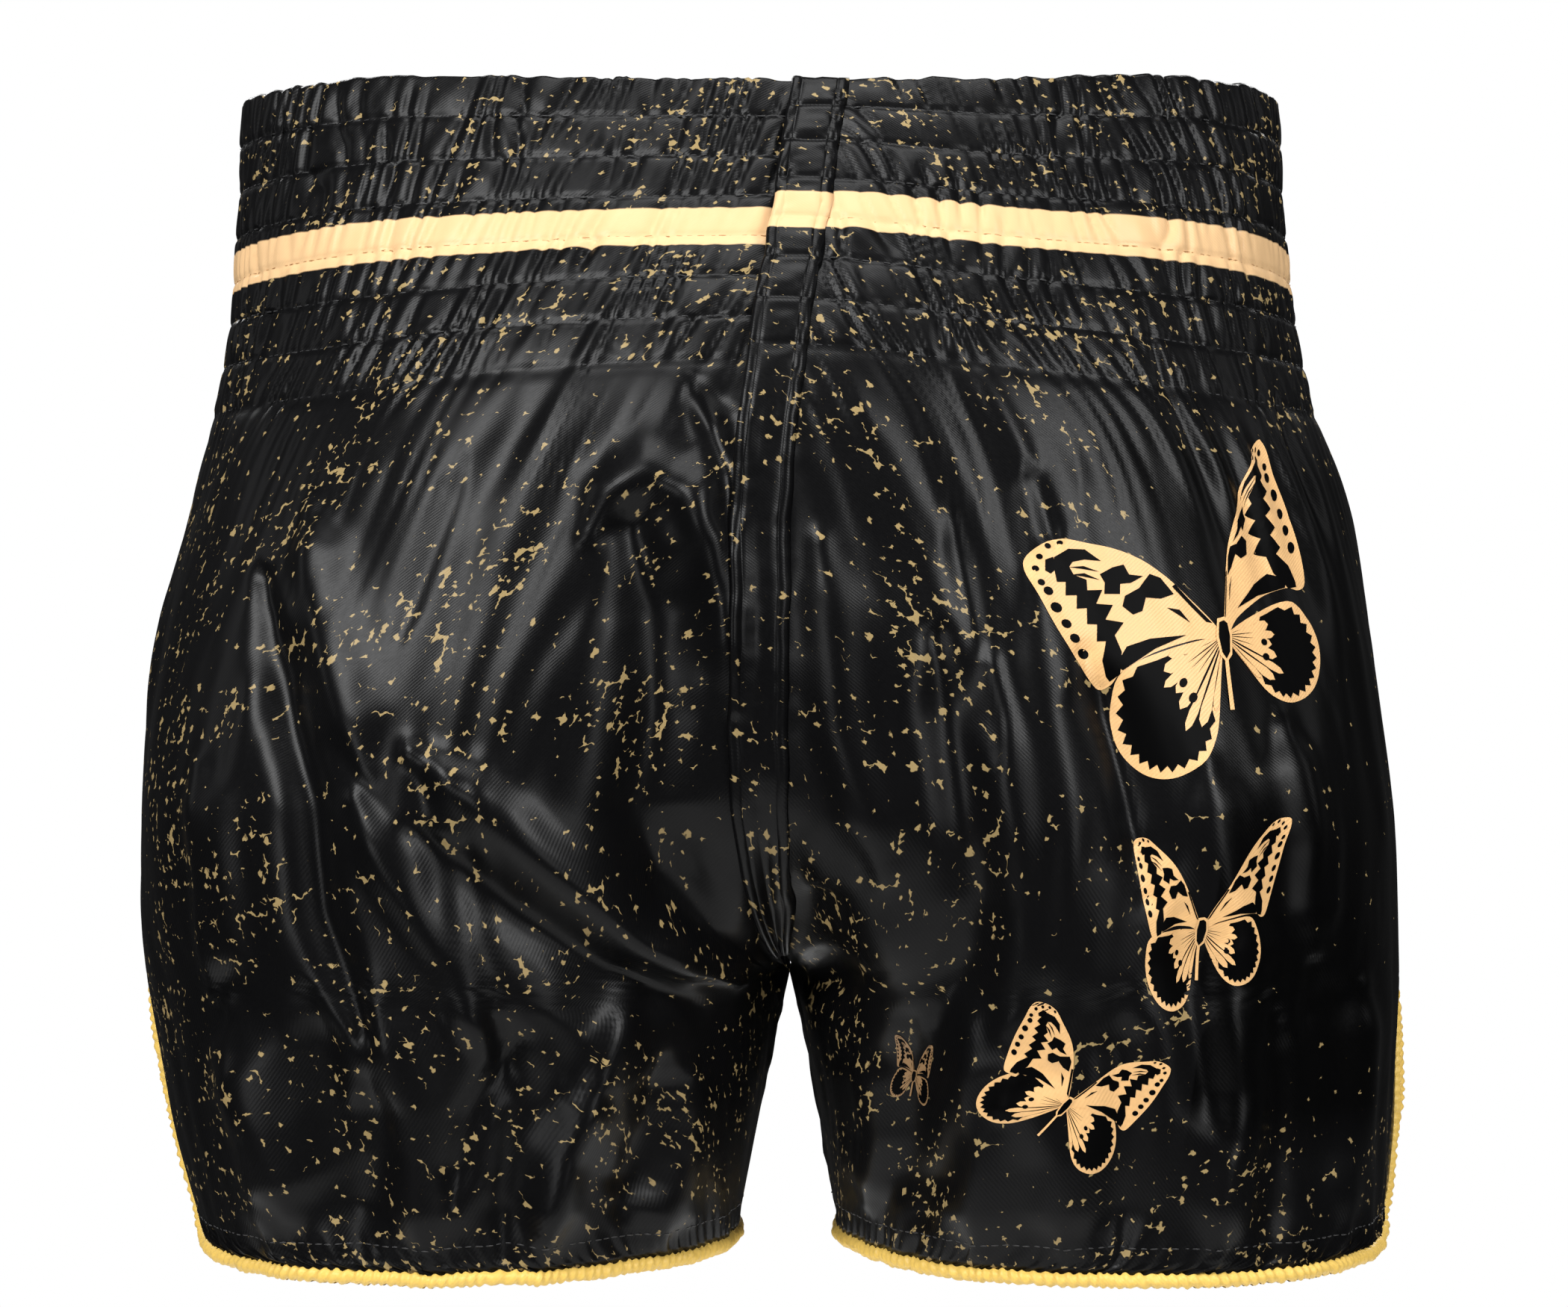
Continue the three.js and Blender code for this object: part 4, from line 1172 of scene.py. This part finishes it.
# Where each butterfly's wings join, as (x, z); the vectors of its left and right forewings and hindwings,
# each as (along, aside); how deep the leading edges bulge; and the tail's end.
BUTTERFLIES = [
    ((124.0, -164.9), ((-54.1, 19.7), (-19.7, -54.1)), ((14.6, 54.8), (45.0, -26.5)),
     ((-18.6, -36.5), (-36.5, 18.6)), ((27.0, -13.0), (14.0, 33.0)), (1.0, 0.35), (1.4, -20.0)),
    ((117.6, -243.5), ((-17.7, 23.1), (-12.1, -30.5)), ((23.1, 28.9), (13.3, -22.6)),
     ((-9.8, -20.5), (-18.0, 17.0)), ((12.6, -12.6), (10.6, 20.0)), (0.8, 0.8), (0.0, -14.0)),
    ((81.8, -290.1), ((-8.5, 27.6), (-27.4, -7.1)), ((27.6, 8.8), (6.7, -30.2)),
     ((-21.4, -0.5), (0.9, 19.3)), ((8.7, -18.5), (15.2, 9.8)), (1.0, 0.7), (-6.5, -7.8)),
    ((39.4, -286.4), ((-3.2, 11.9), (-5.2, -6.9)), ((5.6, 8.9), (3.2, -10.4)),
     ((-4.4, -5.0), (-1.6, 9.3)), ((3.0, -8.0), (3.9, 5.7)), (0.9, 0.8), (-0.8, -6.0)),
]
GOLD_INK = (0.84, 0.50, 0.21, 1)
SHADED_GOLD_INK = (0.30, 0.17, 0.07, 1)   # the same gold ink darkened: painted shade on the smallest butterfly
INK_STEP = 1.25                   # the ink is cut this fine so that it follows the cloth
GOLD, BLACK = 0, 1                # places of the inks in a print's list of materials


def rounded_outline(points, cuts=5):
    """A smooth closed curve through points."""
    p = np.array(points, float)
    before, after, beyond = np.roll(p, 1, axis=0), np.roll(p, -1, axis=0), np.roll(p, -2, axis=0)
    t = np.arange(cuts)[:, None, None] / cuts
    curve = 0.5 * (2 * p + (after - before) * t + (2 * before - 5 * p + 4 * after - beyond) * t**2
                   + (3 * p - before - 3 * after + beyond) * t**3)
    return curve.transpose(1, 0, 2).reshape(-1, 2)


def disc(s, t, radius, stretch=1.25):
    turn = np.linspace(0, 2 * np.pi, 12, endpoint=False)
    return np.stack([s + stretch * radius * np.cos(turn), t + radius * np.sin(turn)], axis=-1)


def petal(degrees, reach, width):
    """A gold streak from the joint, swelling to a blunt end."""
    a = math.radians(degrees)
    share = np.array([.06, .3, .55, .8, .93, 1.0, .93, .8, .55, .3])
    half = np.array([.05, .22, .55, 1.0, .8, 0, -.8, -1.0, -.55, -.22]) * width
    return np.stack([share * reach * math.cos(a) - half * math.sin(a),
                     share * reach * math.sin(a) + half * math.cos(a)], axis=-1)


def hindwing_dark():
    """The hindwing's dark field, with a toothed outer rim."""
    rim = rounded_outline(HINDWING, 4)[7:40]
    middle = np.array([.56, .10])
    teeth = np.where(np.arange(len(rim)) % 2 == 0, .915, .82)[:, None]
    inner = np.array([(.30, -.085), (.10, -.02), (.04, .015), (.16, .17), (.34, .33)])
    return np.concatenate([middle + (rim - middle) * teeth, inner])


def place_on_cloth(side, face, x, z):
    """Arc and depth of the cloth that lies at x and z, seen along the Y axis."""
    arc = np.full(len(x), 110.0)
    depth = -z * 1.04
    for _ in range(14):
        here = cloth(side, face, arc, depth, folded=False)
        across = (cloth(side, face, arc + 0.5, depth, folded=False) - here) * 2
        down = (cloth(side, face, arc, depth + 0.5, folded=False) - here) * 2
        miss_x, miss_z = x - here[:, 0], z - here[:, 2]
        area = across[:, 0] * down[:, 2] - across[:, 2] * down[:, 0]
        arc = arc + np.clip((miss_x * down[:, 2] - miss_z * down[:, 0]) / area, -15, 15)
        depth = depth + np.clip((across[:, 0] * miss_z - across[:, 2] * miss_x) / area, -15, 15)
    return arc, depth


def ink(flat, outline, joint, directions, lift, which, bulge=1.0):
    """Adds a filled outline, given in a wing's own units, to a flat drawing."""
    outline = np.array(outline, float)
    outline[:, 1] = np.where(outline[:, 1] < 0, outline[:, 1] * bulge, outline[:, 1])
    corners = [flat.verts.new((x, z, lift)) for x, z in np.array(joint) + outline @ np.array(directions)]
    edges = [flat.edges.new(pair) for pair in zip(corners, corners[1:] + corners[:1])]
    for part in bmesh.ops.triangle_fill(flat, use_beauty=True, use_dissolve=False, edges=edges)["geom"]:
        if isinstance(part, bmesh.types.BMFace):
            part.material_index = which


def draw_butterfly(joint, left_fore, right_fore, left_hind, right_hind, bulges, tail):
    """The flat drawing: x and z as seen from behind, and each layer's height above the satin."""
    flat = bmesh.new()
    for wing in (left_hind, right_hind):
        ink(flat, rounded_outline(HINDWING), joint, wing, 0.14, GOLD)
        ink(flat, hindwing_dark(), joint, wing, 0.22, BLACK)
        for streak in PETALS:
            ink(flat, petal(*streak), joint, wing, 0.30, GOLD)
        for spot in PETAL_SPOTS:
            ink(flat, disc(*spot), joint, wing, 0.38, BLACK)
    for wing, bulge in zip((left_fore, right_fore), bulges):
        ink(flat, rounded_outline(FOREWING), joint, wing, 0.18, GOLD, bulge)
        for mark in FOREWING_MARKS + [disc(*spot) for spot in MARGIN_DOTS]:
            ink(flat, mark, joint, wing, 0.26, BLACK, bulge)
    for outline, lift, which in ((BODY, 0.42, GOLD), (BODY_DARK, 0.50, BLACK), (TAIL, 0.42, GOLD)):
        ink(flat, outline, joint, (tail, (tail[1], -tail[0])), lift, which)
    return flat


def lay_on_cloth(flat):
    """Cuts a flat drawing finely and lays it on the back right panel."""
    for axis, way in enumerate(((1, 0, 0), (0, 1, 0))):
        places = [v.co[axis] for v in flat.verts]
        for cut in np.arange(min(places) + INK_STEP / 2, max(places), INK_STEP):
            everything = flat.verts[:] + flat.edges[:] + flat.faces[:]
            bmesh.ops.bisect_plane(flat, geom=everything, plane_co=Vector(way) * cut, plane_no=way)
    bmesh.ops.triangulate(flat, faces=flat.faces[:])
    spots = np.array([v.co[:] for v in flat.verts])
    arc, depth = place_on_cloth(1, -1, spots[:, 0], spots[:, 1])
    laid = cloth(1, -1, arc, depth, spots[:, 2])
    outwards = cloth(1, -1, arc, depth, spots[:, 2] + 1) - laid
    for v, place in zip(flat.verts, laid):
        v.co = Vector(place) * MM
    flat.normal_update()
    flat.verts.index_update()
    layer = flat.loops.layers.uv.new("cloth_mm")
    for part in flat.faces:
        for corner in part.loops:
            corner[layer].uv = (arc[corner.vert.index], depth[corner.vert.index])
    inside_out = [part for part in flat.faces if part.normal.dot(Vector(outwards[part.verts[0].index])) < 0]
    bmesh.ops.reverse_faces(flat, faces=inside_out)


ink_gold = gold_satin("butterfly_gold_ink", GOLD_INK)
# The smallest butterfly's gold is darkened as painted shade of the valley fold it lies in; it is the same
# ink.
ink_gold_in_painted_shade = gold_satin("butterfly_gold_ink_painted_shade", SHADED_GOLD_INK)
ink_black = finish("butterfly_black_ink",
                   {"Base Color": DEEP_BLACK, "Roughness": 0.45, "Specular IOR Level": 0.04})[0]
for number, butterfly in enumerate(BUTTERFLIES, 1):
    flat = draw_butterfly(*butterfly)
    lay_on_cloth(flat)
    mesh = bpy.data.meshes.new(f"butterfly_print_{number}")
    flat.to_mesh(mesh)
    flat.free()
    # the smallest butterfly takes the darkened gold, which is painted shade
    mesh.materials.append(ink_gold if number < len(BUTTERFLIES) else ink_gold_in_painted_shade)
    mesh.materials.append(ink_black)
    butterfly_print = new_piece(f"butterfly_print_{number}", mesh)
    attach(butterfly_print, "root")
